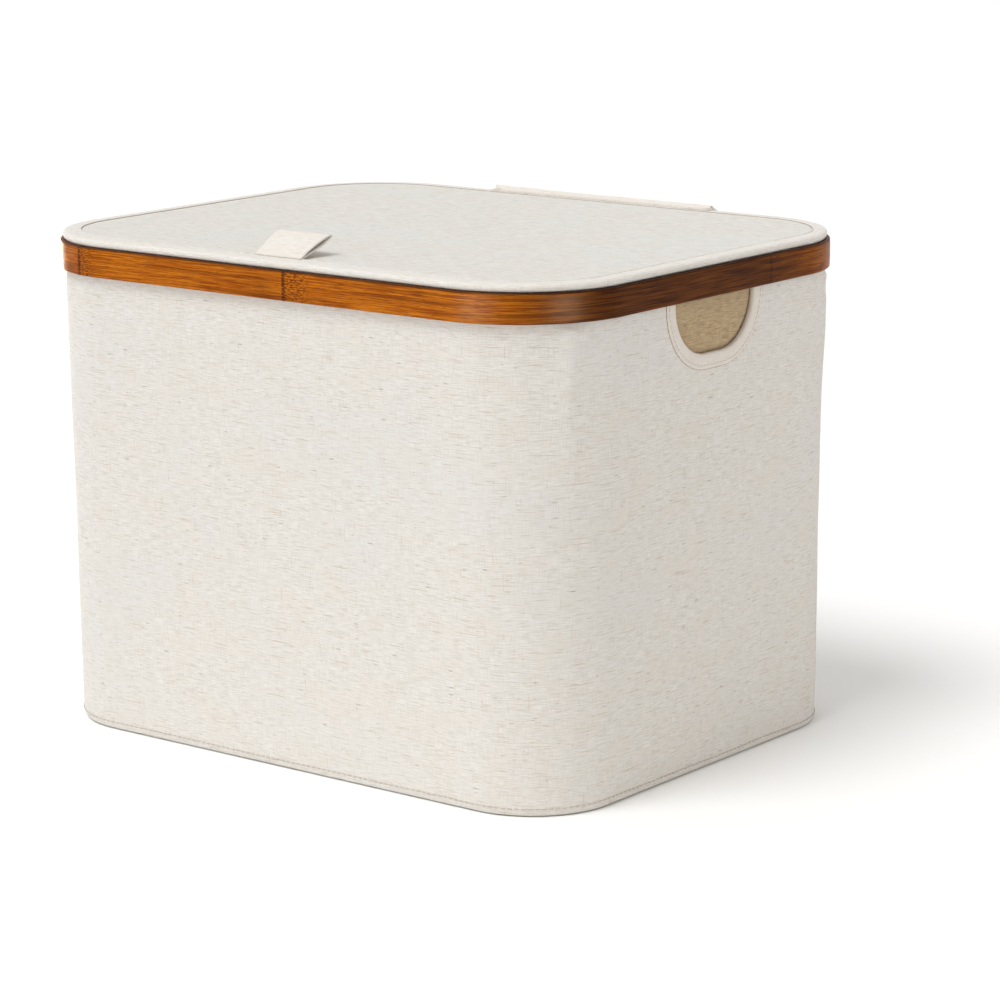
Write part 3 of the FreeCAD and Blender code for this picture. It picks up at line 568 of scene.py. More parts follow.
def bamboo_material():
    g = Nodes("bamboo_lacquered")
    p = g.uv("strip")
    u, v, _ = g.split(p)
    # A slow wander, so that no streak runs dead straight.
    drift = g.noise(g.scale(p, (14, 60, 1), (2, 2, 0)), detail=1.0, rough=0.5)
    lean = g.t.nodes.new("ShaderNodeCombineXYZ")
    g._in(lean.inputs[0], u)
    g._in(lean.inputs[1], g.add(v, g.mul(g.math("SUBTRACT", drift, 0.5), 1.6 * MM)))
    q = lean.outputs[0]
    broad = g.noise(g.scale(q, (11, 420, 1)), detail=2.0, rough=0.5)
    streak = g.noise(g.scale(q, (26, 1250, 1), (3, 1, 0)), detail=2.5, rough=0.6)
    fine = g.noise(g.scale(q, (70, 2600, 1), (1, 7, 0)), detail=2.0, rough=0.6)
    dash = g.noise(g.scale(q, (150, 1500, 1), (9, 2, 0)), detail=2.0, rough=0.6)
    tone = g.noise(g.scale(p, (11, 0, 1), (4, 0, 0)), detail=2.0, rough=0.5)
    light = srgb(204, 120, 24)
    mid = srgb(162, 79, 5)
    deep = srgb(94, 36, 0)
    c = g.mix(g.ramp(streak, 0.36, 0.64), mid, light)
    c = g.mix(g.ramp(broad, 0.47, 0.66, 0.0, 0.52), c, deep)
    c = g.mix(g.ramp(fine, 0.46, 0.68, 0.0, 0.70), c, deep)
    c = g.mix(g.ramp(dash, 0.56, 0.74, 0.0, 0.60), c, srgb(72, 28, 0))
    c = g.mix(g.ramp(tone, 0.50, 0.72, 0.0, 0.30), c, srgb(100, 40, 0))
    # The culm's joints: a ragged dark line, and mottled fibre to one side of it.
    rag = g.noise(g.scale(p, (150, 520, 1)), detail=3.0, rough=0.7)
    mott = g.noise(g.scale(p, (420, 1150, 1), (6, 6, 0)), detail=2.0, rough=0.65)
    for at, reach in zip(NODES_AT, NODE_REACH):
        wander = g.mul(g.math("SUBTRACT", rag, 0.5), 2.2 * MM)
        d = g.math("SUBTRACT", g.add(u, wander), at)
        line = g.ramp(g.math("ABSOLUTE", d), 0.5 * MM, 2.0 * MM, 1.0, 0.0)
        past = g.mul(g.ramp(d, -0.5 * MM, 1.5 * MM),
                     g.ramp(d, reach * 0.45, reach, 1.0, 0.0))
        c = g.mix(g.mul(past, 0.35), c, srgb(190, 106, 18))
        c = g.mix(g.mul(past, g.ramp(mott, 0.46, 0.58, 0.0, 0.85)), c, srgb(84, 32, 0))
        c = g.mix(g.mul(line, g.ramp(mott, 0.36, 0.58, 0.35, 0.95)), c, srgb(66, 24, 2))
    # The right end of the hoop looks darker. Whether the strip is darker there
    # or only in shade isn't known, and it is drawn as a darker length.
    side = g.mul(g.ramp(u, DARK_FROM, DARK_FROM + 0.085),
                 g.ramp(u, DARK_TO, DARK_TO + 0.14, 0.90, 0.15))
    c = g.mix(side, c, g.mix(g.ramp(streak, 0.35, 0.66), srgb(30, 10, 0), srgb(88, 44, 8)))
    # A dark line along the upper edge stands in for the shaded gap under the lid.
    up = g.split(g.obj())[2]
    gap = g.ramp(up, RIM_TOP - 1.0 * MM, RIM_TOP - 0.35 * MM, 0.0, 0.72)
    c = g.mix(gap, c, srgb(48, 22, 8))
    h = g.add(g.mul(streak, 0.5), g.mul(fine, 0.5))
    g.set(Base_Color=c, Roughness=g.ramp(fine, 0.3, 0.7, 0.30, 0.40),
          Normal=g.bump(h, 0.25, 0.10 * MM))
    g.sockets(Specular_IOR_Level=0.05)
    return g.m


def board_material():
    g = Nodes("fibre_board")
    o = g.obj()
    n = g.noise(o, scale=900.0, detail=3.0, rough=0.6)
    s = g.noise(g.scale(o, (1, 1, 1)), scale=160.0, detail=2.0)
    c = g.mix(g.ramp(n, 0.35, 0.65), srgb(150, 138, 120), srgb(178, 166, 146))
    c = g.mix(g.ramp(s, 0.55, 0.75, 0.0, 0.5), c, srgb(128, 116, 98))
    g.set(Base_Color=c, Roughness=0.9, Normal=g.bump(n, 0.3, 0.1 * MM))
    return g.m


def wire_material():
    g = Nodes("zinc_wire")
    o = g.obj()
    n = g.noise(o, scale=1800.0, detail=2.0)
    g.set(Base_Color=g.mix(g.ramp(n, 0.4, 0.6), (0.56, 0.56, 0.57), (0.68, 0.68, 0.68)),
          Roughness=g.ramp(n, 0.4, 0.6, 0.28, 0.42), Normal=g.bump(n, 0.2, 0.03 * MM))
    g.sockets(Metallic=1.0)
    return g.m


def paint(ob, mat):
    ob.data.materials.clear()
    ob.data.materials.append(mat)


def put(ob, mat, body, nodes=()):
    paint(ob, mat)
    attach(ob, body)
    if nodes:
        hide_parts(*nodes)
    return ob


def bar(name, frames, section):
    """A closed bar: the section, points of (a, b), is carried along frames of
    (origin, a axis, b axis), and both ends are closed."""
    m = len(section)
    verts, faces, uvs = [], [], []
    around = [0.0]
    for k in range(m):
        a, b = section[k], section[(k + 1) % m]
        around.append(around[-1] + math.hypot(a[0] - b[0], a[1] - b[1]))
    lengths = [0.0]
    for f, g in zip(frames, frames[1:]):
        lengths.append(lengths[-1] + (Vector(g[0]) - Vector(f[0])).length)
    for o, a, b in frames:
        for p, q in section:
            verts.append(Vector(o) + Vector(a) * p + Vector(b) * q)
    for i in range(len(frames) - 1):
        for k in range(m):
            k2 = (k + 1) % m
            faces.append((i * m + k, (i + 1) * m + k, (i + 1) * m + k2, i * m + k2))
            uvs += [(lengths[i], around[k]), (lengths[i + 1], around[k]),
                    (lengths[i + 1], around[k + 1]), (lengths[i], around[k + 1])]
    for i in (0, len(frames) - 1):
        faces.append(tuple(i * m + k for k in range(m)))
        uvs += [(section[k][0], section[k][1]) for k in range(m)]
    return outward(make(name, verts, faces, uvs))


def plate(name, w, d, r, insets, rise, inner=22, thickness=0.6 * MM, shift=None):
    """A sheet with a rounded-rectangle edge, from loops that follow the edge
    and then close in on the middle. rise(x, y, inset) is the upper face's height."""
    rows = []
    for inset in insets:
        loop = inset_loop(w, d, r, inset)
        rows.append([(p[0], p[1], rise(p[0], p[1], inset)) for p in loop])
    last = rows[-1]
    for k in range(1, inner):
        f = 1 - k / inner
        rows.append([(p[0] * f, p[1] * f, rise(p[0] * f, p[1] * f, 1.0)) for p in last])
    n = len(last)
    verts = [p for row in rows for p in row]
    verts.append((0, 0, rise(0, 0, 1.0)))
    faces = []
    for k in range(len(rows) - 1):
        for i in range(n):
            j = (i + 1) % n
            faces.append((k * n + i, k * n + j, (k + 1) * n + j, (k + 1) * n + i))
    k = len(rows) - 1
    for i in range(n):
        faces.append((k * n + i, k * n + (i + 1) % n, len(verts) - 1))
    uvs = [(verts[v][0], verts[v][1]) for f in faces for v in f]
    if shift:
        verts = [(*shift(v[0], v[1], 1.0), v[2]) for v in verts]
    return thicken(make(name, verts, faces, uvs), thickness)


def ring(name, w, d, r, section, wave=None):
    """A closed band round an outline from a section of (inset, z) points."""
    base, total = outline(w, d, r)
    rings = []
    for inset, z in section:
        loop = inset_loop(w, d, r, inset)
        rings.append([wave(p, inset, z) if wave else (p[0], p[1], z) for p in loop])
    return tube_rings(name, rings, [p[4] for p in base], total)


def levels(rows, **heights):
    """Section points in metres from rows of (inset, level's name, rise) in mm."""
    return [(inset * MM, heights[level] + rise * MM) for inset, level, rise in rows]


# ------------------------------------------------------------------ the hand holes
HALF = HOLE_W / 2
ARC_Z = HOLE_LOW + HOLE_R


def hole_gap(y, z):
    """How far a point on a side wall is outside the hole's edge."""
    qy, qz = abs(y) - (HALF - HOLE_R), ARC_Z - z
    return math.hypot(max(qy, 0), max(qz, 0)) + min(max(qy, qz), 0) - HOLE_R


def hole_edge(step=1.4 * MM, top=RIM_LOW):
    """(y, z, away y, away z) along the edge from one top end to the other."""
    pts = [(-HALF, lerp(top, ARC_Z, i / 3), -1, 0) for i in range(3)]
    flat, m, n = HALF - HOLE_R, 10, int(HOLE_R * math.pi / 2 / step)

    def corner(y, start):
        for i in range(n):
            a = start + math.pi / 2 * i / n
            ay, az = math.cos(a), math.sin(a)
            pts.append((y + HOLE_R * ay, ARC_Z + HOLE_R * az, ay, az))

    corner(-flat, math.pi)
    pts.extend((lerp(-flat, flat, i / m), HOLE_LOW, 0, -1) for i in range(m))
    corner(flat, 1.5 * math.pi)
    pts.extend((HALF, lerp(ARC_Z, top, i / 3), 1, 0) for i in range(4))
    return pts


# ------------------------------------------------------------------ the cover
CREASE = {"front_left": 30, "front_right": 60, "rear_right": 30, "rear_left": 60}
CREASE_SIZE = {"front_left": 0.7, "front_right": 1.0, "rear_right": 0.8, "rear_left": 0.6}


def cover_out(p, z):
    """How far the cover cloth stands off its board at one place."""
    x, y, nx, ny, s, corner = p
    q = (x, y, z)
    d = 0.16 + 0.34 * ripple(q, 11, 3.1) + 0.20 * ripple(q, 24, 8.7) + 0.08 * ripple(q, 60, 5.3)
    # Long soft lines that run from the rim down the faces.
    d += 0.10 * ripple((x * 3.0, y * 3.0, z * 0.5), 22, 1.9)
    if corner:
        name, share = corner
        # A fold line, with the cloth pulled straight to either side of it.
        half = CREASE_SIZE[name] * (9 + 9 * smooth(196 * MM, 246 * MM, z))
        off = abs(share - CREASE[name])
        blunt = lerp(5.0, 1.2, smooth(180 * MM, 240 * MM, z))
        off = math.hypot(off, blunt)
        if off < half:
            d += TOP_R / MM * (1 / math.cos(math.radians(half - off)) - 1)
        # A second, softer fold and small puckers, close under the rim.
        d += (0.8 * CREASE_SIZE[name] * smooth(236 * MM, 262 * MM, z)
              * math.exp(-((share - CREASE[name] + 22) / 4.5) ** 2))
        pucker = smooth(244 * MM, 268 * MM, z) * math.exp(-((share - 38) / 30) ** 2)
        turn = s / MM * 0.40 + 2.2 * math.sin(z / MM * 0.12) + 1.6 * math.sin(s / MM * 0.17)
        d += pucker * (0.32 * math.sin(turn) + 0.35 * ripple(q, 70, 7.0))
    d = max(-0.45 if corner else -0.06, d)
    # Held flat under the rim, at the foot seam, the rear strip and the holes.
    d *= 1 - smooth(272.5 * MM, 277.5 * MM, z)
    d *= smooth(5 * MM, 26 * MM, z)
    if ny > 0.9:
        d *= smooth(8 * MM, 20 * MM, abs(x))
    if abs(nx) > 0.9:
        d *= smooth(9 * MM, 24 * MM, hole_gap(y, z))
    return d * MM


def foot(z, r=3.0 * MM):
    return r - math.sqrt(max(0.0, r * r - (r - z) ** 2)) if z < r else 0.0


def build_cover():
    zs = [0.0, 0.35, 0.9, 1.6, 2.4, 3.2, 4.4, 6.0, 8.2]
    z = zs[-1]
    while z < 274:
        z += 2.7
        zs.append(z)
    zs += [279.0, 283.0, 288.0, 294.0]
    zs = [v * MM for v in zs]
    loops = []
    for z in zs:
        w, d, r = wall_at(z)
        loops.append(outline(w, d, r)[0])
    mid, total = outline(*wall_at(150 * MM))
    rows = []
    for z, loop in zip(zs, loops):
        row = []
        for p in loop:
            o = cover_out(p, z) - foot(z)
            row.append((p[0] + p[2] * o, p[1] + p[3] * o, z))
        rows.append(row)
    us = [p[4] for p in mid]

    def cut(k, i):
        j = (i + 1) % len(mid)
        for a, b in ((k, i), (k + 1, i), (k, j), (k + 1, j)):
            y, nx = loops[a][b][1:3]
            if abs(nx) > 0.9 and hole_gap(y, zs[a]) < 1.2 * MM and abs(y) < 60 * MM:
                return True
        return False

    ob = grid("cover_cloth", rows, us, zs, wrap=True, total=total, skip=cut)
    return thicken(ob, 0.9 * MM)


def build_lining():
    low = 3.4 * MM
    zs = [low + (WALL_TOP - low) * k / 84 for k in range(85)]
    mid, total = outline(*wall_at(150 * MM))
    rows = []
    for z in zs:
        row = []
        for x, y, nx, ny, s, corner in inset_loop(*wall_at(z), 3.12 * MM):
            q = (x, y, z)
            o = -0.25 - 0.30 * ripple(q, 13, 21.0) - 0.12 * ripple(q, 31, 4.0)
            o = min(0.0, o) * smooth(0, 24 * MM, z) * (1 - smooth(268 * MM, 280 * MM, z))
            if abs(nx) > 0.9:
                g = -hole_gap(y, z)
                o = lerp(o, 0.0, smooth(-14 * MM, -3 * MM, g))
                o += (1.45 * smooth(0.5 * MM, 3.5 * MM, g)
                      + 0.25 * ripple((x, y, z), 40, 2.0) * smooth(3.0 * MM, 9 * MM, g))
            o *= MM
            row.append((x + nx * o, y + ny * o, z))
        rows.append(row)
    ob = grid("lining_cloth", rows, [p[4] for p in mid], zs, wrap=True, total=total)
    return thicken(ob, 0.6 * MM)


cover = put(build_cover(), canvas, "bin", ["outer_cover"])
lining_cloth = put(build_lining(), lining, "bin", ["lining_wall"])



def bottom_rise(x, y, inset):
    return (0.87 + (0.10 * ripple((x, y, 0), 14, 2.0) if inset > 5 * MM else 0)) * MM


def in_mm(*values):
    return [v * MM for v in values]


floor_low = plate("bottom_cloth", BASE_W, BASE_D, BASE_R, in_mm(3.3, 4.5, 8, 16, 28, 42),
                  bottom_rise, thickness=0.74 * MM)
put(floor_low, base_canvas, "bin", ["outer_bottom"])
lin_lo, lin_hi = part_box("lining_bottom")
lin_w, lin_d = lin_hi.x - lin_lo.x, lin_hi.y - lin_lo.y


def floor_rise(x, y, inset):
    return lin_hi.z + (0.35 * MM * (0.6 + ripple((x, y, 0), 12, 9.0))
                       if inset > 2 * MM else 0.2 * MM)


floor_in = plate("lining_floor", lin_w, lin_d, BASE_R - 3.8 * MM,
                 in_mm(0.2, 1.2, 3, 8, 18, 32, 44), floor_rise)
put(floor_in, lining, "bin", ["lining_bottom"])

# ------------------------------------------------------------------ the bamboo hoop
hoop_loop, HOOP_LEN = outline(WIDTH, DEPTH, RIM_R)


def along_hoop(x, y):
    return min(hoop_loop, key=lambda p: (p[0] - x * MM) ** 2 + (p[1] - y * MM) ** 2)[4]


NODES_AT = [along_hoop(*at) for at in ((16, -162.5), (200, 50), (-146, -161), (-120, 162.5))]
NODE_REACH = [24 * MM, 13 * MM, 16 * MM, 18 * MM]
DARK_FROM = along_hoop(143, -161)
DARK_TO = along_hoop(200, 30)


def build_hoop():
    h, t, e = RIM_TOP - RIM_LOW, RIM_T, 0.85 * MM
    sec = []
    # outer top edge round to the outer bottom edge, then the inner side
    for a in range(0, 91, 15):
        g = math.radians(a)
        sec.append((e - e * math.sin(g), RIM_TOP - e + e * math.cos(g)))
    for k in range(1, 6):
        sec.append((-0.10 * MM * math.sin(math.pi * k / 6), lerp(RIM_TOP - e, RIM_LOW + e, k / 6)))
    for a in range(0, 91, 15):
        g = math.radians(a)
        sec.append((e - e * math.cos(g), RIM_LOW + e - e * math.sin(g)))
    f = 0.5 * MM
    for a in range(0, 91, 30):
        g = math.radians(a)
        sec.append((t - f + f * math.sin(g), RIM_LOW + f - f * math.cos(g)))
    for a in range(0, 91, 30):
        g = math.radians(a)
        sec.append((t - f + f * math.cos(g), RIM_TOP - f + f * math.sin(g)))

    def wave(p, inset, z):
        x, y, nx, ny, s, _ = p
        upper = z > (RIM_LOW + RIM_TOP) / 2
        o = 0.0
        if inset < t / 2:
            o = 0.10 * MM * ripple((x, y, 0), 13, 4.4)
            for at in NODES_AT:
                k = (s - at) / (5.0 * MM)
                o += 0.16 * MM * math.exp(-k * k)
            o -= 0.10 * MM
        dz = 0.22 * MM * ripple((x, y, 0), 8, 1.2) * (1 if upper else 0.8)
        dz = min(dz, 0.0) if upper else max(dz, 0.0)
        return (x + nx * o, y + ny * o, z + dz)

    loops = []
    for inset, z in sec:
        loop = inset_loop(WIDTH, DEPTH, RIM_R, inset)
        loops.append([wave((*p[:4], q[4], p[5]), inset, z) for p, q in zip(loop, hoop_loop)])
    return tube_rings("bamboo_hoop", loops, [p[4] for p in hoop_loop], HOOP_LEN, uv_name="strip")


hoop = put(build_hoop(), bamboo_material(), "bin", ["bamboo_rim"])

# ------------------------------------------------------------------ inside the rim
band_low = bind_lo.z
band_sec = levels((
    (0.35, "top", -0.55), (0.5, "top", -0.15), (1.0, "top", 0), (2.4, "top", 0.05),
    (3.9, "top", 0), (4.6, "top", -0.2), (4.88, "top", -0.8), (4.92, "upper", 0),
    (4.98, "lower", 0), (4.95, "low", 0.6), (4.8, "low", 0), (4.4, "low", 0.1),
    (4.32, "low", 1.2), (4.32, "top", -1.0), (4.1, "top", -0.6),
), top=bind_hi.z, upper=lerp(band_low, bind_hi.z, 0.7),
    lower=lerp(band_low, bind_hi.z, 0.4), low=band_low)
band = ring("binding_tape", TOP_W, TOP_D, TOP_R, band_sec)
put(band, tape_cloth, "bin", ["top_binding"])
st_path = []
for p in inset_loop(TOP_W, TOP_D, TOP_R, 4.98 * MM):
    st_path.append(((p[0], p[1], band_low + 2.0 * MM), (-p[2], -p[3], 0)))
put(stitches("binding_stitches", st_path, closed=True, length=2.6 * MM, gap=1.2 * MM), thread, "bin")


def staple(name, centre, along, out):
    """A wire crown with its two bent ends going into the cloth."""
    c, a, o = Vector(centre), Vector(along), Vector(out)
    half, bend, r, lift = 3.6 * MM, 0.5 * MM, 0.26 * MM, 0.1 * MM
    pts = []
    for t in range(4):
        g = math.radians(90 * t / 3)
        pts.append(c + a * (-half - bend + bend * math.sin(g))
                   + o * (-bend * math.cos(g) + lift))
    for t in range(1, 8):
        pts.append(c + a * lerp(-half, half, t / 8) + o * lift)
    for t in range(4):
        g = math.radians(90 * (3 - t) / 3)
        pts.append(c + a * (half + bend - bend * math.sin(g))
                   + o * (-bend * math.cos(g) + lift))
    verts, faces, seg = [], [], 8
    side = a.cross(o)
    for i, p in enumerate(pts):
        d = (pts[min(i + 1, len(pts) - 1)] - pts[max(i - 1, 0)]).normalized()
        up = side.cross(d).normalized()
        for k in range(seg):
            g = 2 * math.pi * k / seg
            verts.append(p + side * (r * 1.7 * math.cos(g)) + up * (r * 0.8 * math.sin(g)))
    for i in range(len(pts) - 1):
        for k in range(seg):
            j = (k + 1) % seg
            faces.append((i * seg + k, i * seg + j, (i + 1) * seg + j, (i + 1) * seg + k))
    faces.append(tuple(range(seg)))
    faces.append(tuple((len(pts) - 1) * seg + k for k in range(seg)))
    return outward(make(name, verts, faces))


st_lo, st_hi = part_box("rim_staples")
st_z = (st_lo.z + st_hi.z) / 2
sx, sy = st_hi.x - 0.25 * MM, st_hi.y - 0.25 * MM
near = 0.12 * MM
crowns = []
for x in (-110, 0, 110):
    crowns.append(staple("s", (x * MM, -sy + near, st_z), (1, 0, 0), (0, 1, 0)))
for x in (-115, 115):
    crowns.append(staple("s", (x * MM, sy - near, st_z), (1, 0, 0), (0, -1, 0)))
for y in (-60, 0, 60):
    crowns.append(staple("s", (sx - near, y * MM, st_z), (0, 1, 0), (-1, 0, 0)))
    crowns.append(staple("s", (-sx + near, y * MM, st_z), (0, 1, 0), (1, 0, 0)))
put(join("staple_crowns", crowns), wire_material(), "bin", ["rim_staples"])

# ------------------------------------------------------------------ hole facings
# The facing's section in mm: away from the hole's edge, and out from the wall.
FACE_SEC = [(8.5, 0.02), (8.52, 0.30), (8.35, 0.48), (7.7, 0.55), (6.75, 0.52),
            (6.2, 0.40), (5.65, 0.53), (4.6, 0.60), (3.0, 0.64), (1.5, 0.60),
            (0.6, 0.48), (0.05, 0.24), (-0.20, -0.12), (-0.36, -0.6), (-0.40, -1.3),
            (-0.40, -2.2), (-0.04, -2.2), (-0.04, -1.1), (0.1, -0.35), (0.5, -0.03),
            (1.4, 0.0), (4.0, 0.0)]


def side_x(z):
    return wall_at(z)[0] / 2


def build_facing(name, side):
    edge = hole_edge()
    verts, faces, uvs = [], [], []
    m, n = len(FACE_SEC), len(edge)
    lengths = [0.0]
    for a, b in zip(edge, edge[1:]):
        lengths.append(lengths[-1] + math.hypot(a[0] - b[0], a[1] - b[1]))
    around = [0.0]
    for k in range(m):
        a, b = FACE_SEC[k], FACE_SEC[(k + 1) % m]
        around.append(around[-1] + math.hypot(a[0] - b[0], a[1] - b[1]) * MM)
    for i, (y, z, ay, az) in enumerate(edge):
        for off, out in FACE_SEC:
            yy, zz = y + ay * off * MM, z + az * off * MM
            w = 0.0
            if 0.4 < out:
                w = 0.10 * ripple((side, yy, zz), 75, 6.0) * smooth(0.0, 0.3, out)
            verts.append((side * (side_x(zz) + (out + w) * MM), yy, zz))
    for i in range(n - 1):
        for k in range(m):
            k2 = (k + 1) % m
            faces.append((i * m + k, (i + 1) * m + k, (i + 1) * m + k2, i * m + k2))
            uvs += [(lengths[i], around[k]), (lengths[i + 1], around[k]),
                    (lengths[i + 1], around[k + 1]), (lengths[i], around[k + 1])]
    for i in (0, n - 1):
        faces.append(tuple(i * m + k for k in range(m)))
        uvs += [(FACE_SEC[k][0] * MM, FACE_SEC[k][1] * MM) for k in range(m)]
    return outward(make(name, verts, faces, uvs))


def round_hole(side, away, out, top):
    """A sewing line round a hand hole, as far up as top."""
    path = []
    for y, z, ay, az in hole_edge():
        yy, zz = y + ay * away, z + az * away
        if zz < top:
            path.append(((side * (side_x(zz) + out), yy, zz), (side, 0, 0)))
    return path


for tag, side in (("right", 1), ("left", -1)):
    f = put(build_facing(tag + "_hole_binding", side), facing_cloth, "bin", [tag + "_hole_facing"])
    path = round_hole(side, 6.2 * MM, 0.42 * MM, 277 * MM)
    rim_line = round_hole(side, 8.75 * MM, 0.06 * MM, 277.4 * MM)
    put(stitches(tag + "_hole_seam", rim_line, length=3.6 * MM, gap=0.35 * MM,
                 radius=0.17 * MM), thread_tan, "bin")
    put(stitches(tag + "_hole_stitches", path, length=2.3 * MM, gap=0.9 * MM,
                 radius=0.22 * MM), thread, "bin", [tag + "_hole_stitching"])

# ------------------------------------------------------------------ foot seam and rear strip
seam_lo, seam_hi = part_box("bottom_seam")
seam_z = (seam_lo.z + seam_hi.z) / 2
w, d, r = wall_at(seam_z)
path = []
for p in outline(w, d, r)[0]:
    zz = seam_z + 0.35 * MM * ripple((p[0], p[1], 0), 18, 5.0)
    o = 0.12 * MM
    path.append(((p[0] + p[2] * o, p[1] + p[3] * o, zz), (p[2], p[3], 0)))
put(stitches("foot_seam_stitches", path, closed=True, length=3.0 * MM, gap=0.9 * MM,
             radius=0.34 * MM), thread_dark, "bin", ["bottom_seam"])

strip_lo, strip_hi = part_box("rear_seam_strip")
frames, strip_len = [], []
half = (strip_hi.x - strip_lo.x) / 2
sec = [(-1.0, 0.0), (-1.0, 0.30), (-0.96, 0.44), (-0.84, 0.47), (-0.76, 0.38),
       (-0.68, 0.47), (-0.3, 0.54), (0.0, 0.50), (0.3, 0.54), (0.68, 0.47), (0.76, 0.38),
       (0.84, 0.47), (0.96, 0.44), (1.0, 0.30), (1.0, 0.0), (0.5, -0.02), (-0.5, -0.02)]
for k in range(101):
    z = lerp(strip_lo.z, strip_hi.z, k / 100)
    y = wall_at(z)[1] / 2
    sway = 0.25 * MM * ripple((0, 0, z), 30, 7.0)
    puff = 0.05 * MM * ripple((0, 0, z), 90, 3.0)
    frames.append(((sway, y + puff, z), (half, 0, 0), (0, MM, 0)))
strip = bar("rear_strip", frames, sec)
put(strip, canvas, "bin", ["rear_seam_strip"])
rows_made = []
for x in (-0.76 * half, 0.76 * half):
    path = []
    for k in range(101):
        z = lerp(strip_lo.z + 1.5 * MM, strip_hi.z - 0.3 * MM, k / 100)
        path.append(((x + 0.25 * MM * ripple((0, 0, z), 30, 7.0), wall_at(z)[1] / 2 + 0.42 * MM, z), (0, 1, 0)))
    rows_made.append(stitches("r", path, length=2.5 * MM, gap=1.0 * MM, radius=0.22 * MM))
put(join("rear_strip_stitches", rows_made), thread, "bin")

# ------------------------------------------------------------------ the boards keep their shapes
fibre = board_material()
for node in ("front_board", "rear_board", "left_board", "right_board", "base_board", "lid_board"):
    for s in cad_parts[node].material_slots:
        s.link = "OBJECT"
        s.material = fibre

# ------------------------------------------------------------------ the lid
BORDER = 12 * MM


def settle(x, y, share):
    """The panel lies a little off centre, nearer the back and both ends."""
    x = x * (1 + share * 3.0 * MM / (LID_W / 2 - BORDER))
    return x, y + share * 3.4 * MM * smooth(-0.11, 0.149, y)


def lid_wave(p, inset, z):
    x, y = p[0], p[1]
    top = z > LID_MID
    soft = smooth(0.8 * MM, 4 * MM, inset) * (1 - smooth(9 * MM, 11.6 * MM, inset))
    dz = (0.14 * ripple((x, y, 0), 17, 3.0) + 0.07 * ripple((x, y, 0), 45, 8.0)) * soft * MM
    if not top:
        # The soft edge settles onto the hoop, except over the tape at the back.
        over = smooth(100 * MM, 90 * MM, abs(x)) if y > 0 else 0.0
        dz = (-0.68 * MM * (1 - over) * (1 - smooth(3.2 * MM, 6.5 * MM, inset))
              * smooth(LID_MID, LID_LOW + 0.4 * MM, z))
    o = (0.09 * ripple((x, y, 0), 14, 12.0)) * MM if inset < 2 * MM else 0.0
    x, y = settle(x - p[2] * abs(o), y - p[3] * abs(o), smooth(1.5 * MM, 11 * MM, inset))
    return (x, y, z + dz)


border_sec = levels((
    (12.2, "top", -0.45), (12.15, "top", -0.05), (11.7, "top", 0.10),
    (9.5, "top", 0.06), (7.0, "top", 0.05), (4.5, "top", 0.04), (2.6, "top", 0),
    (1.5, "top", -0.08), (0.75, "top", -0.32), (0.25, "top", -0.8),
    (0.03, "top", -1.4), (0.0, "mid", 0), (0.05, "low", 1.3), (0.3, "low", 0.7),
    (0.85, "low", 0.25), (1.8, "low", 0.04), (4.5, "low", 0), (9.0, "low", 0),
    (12.1, "low", 0.05), (12.15, "low", 0.6), (9.0, "low", 0.72), (3.0, "low", 0.72),
    (0.95, "low", 1.0), (0.85, "mid", 0), (0.95, "top", -0.95), (3.0, "top", -0.72),
    (9.0, "top", -0.72),
), top=LID_TOP, mid=LID_MID, low=LID_LOW)
border = ring("lid_border_cloth", LID_W, LID_D, LID_R, border_sec, lid_wave)
put(border, border_canvas, "lid", ["lid_border"])

pan_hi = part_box("lid_top_panel")[1]


def panel_rise(x, y, inset):
    edge = smooth(0.8 * MM, 2.0 * MM, inset)
    q = (x, y, 0)
    dz = 0.34 * ripple(q, 9, 1.0) + 0.16 * ripple(q, 22, 6.0) + 0.06 * ripple(q, 60, 2.0)
    return (pan_hi.z - 0.28 * MM * (1 - edge)
            + max(-0.12, dz + 0.10) * MM * smooth(1 * MM, 16 * MM, inset))


INNER = (LID_W - 2 * BORDER, LID_D - 2 * BORDER, LID_R - BORDER)
panel = plate("lid_panel_cloth", *INNER,
              in_mm(0.25, 0.9, 1.8, 3.2, 5.5, 9, 14, 20, 27, 35, 43),
              panel_rise, inner=26, thickness=0.55 * MM, shift=settle)
put(panel, lid_canvas, "lid", ["lid_top_panel"])

LINING_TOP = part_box("lid_lining")[1].z


def lid_lining_rise(x, y, inset):
    sag = 0.08 * MM + 0.16 * MM * ripple((x, y, 0), 13, 17.0)
    return LINING_TOP - sag * (1 if inset > 2 * MM else 0)


lid_in = plate("lid_lining_cloth", *INNER, in_mm(0.15, 1.2, 3, 6, 12, 22, 34, 44),
               lid_lining_rise, thickness=0.5 * MM)
put(lid_in, lining, "lid", ["lid_lining"])

welt_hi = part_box("lid_welt")[1].z
welt_sec = []
for k in range(10):
    g = 2 * math.pi * k / 10
    welt_sec.append((BORDER + (0.38 + 0.46 * math.cos(g)) * MM, welt_hi - 0.36 * MM + 0.40 * MM * math.sin(g)))


def welt_wave(p, inset, z):
    q = (p[0], p[1], 0)
    x, y = settle(p[0] + 0.10 * MM * ripple(q, 35, 9.0),
                  p[1] + 0.10 * MM * ripple(q, 35, 2.0), 1.0)
    return (x, y, z + 0.05 * MM * ripple(q, 90, 9.0))


welt = ring("lid_welt_cord", LID_W, LID_D, LID_R, welt_sec, welt_wave)
put(welt, border_canvas, "lid", ["lid_welt"])
# A thin dark tan cord round the panel's edge, beside the welt, is painted shade: it stands in for the shadowed
# groove between the welt and the panel.
groove_shade_sec = []
for k in range(6):
    g = 2 * math.pi * k / 6
    groove_shade_sec.append((BORDER + (1.02 + 0.17 * math.cos(g)) * MM, pan_hi.z - 0.12 * MM + 0.15 * MM * math.sin(g)))
seam = ring("lid_groove_shade_line", LID_W, LID_D, LID_R, groove_shade_sec,
            lambda p, inset, z: (*settle(p[0], p[1], 1.0), z))
put(seam, thread_tan, "lid")

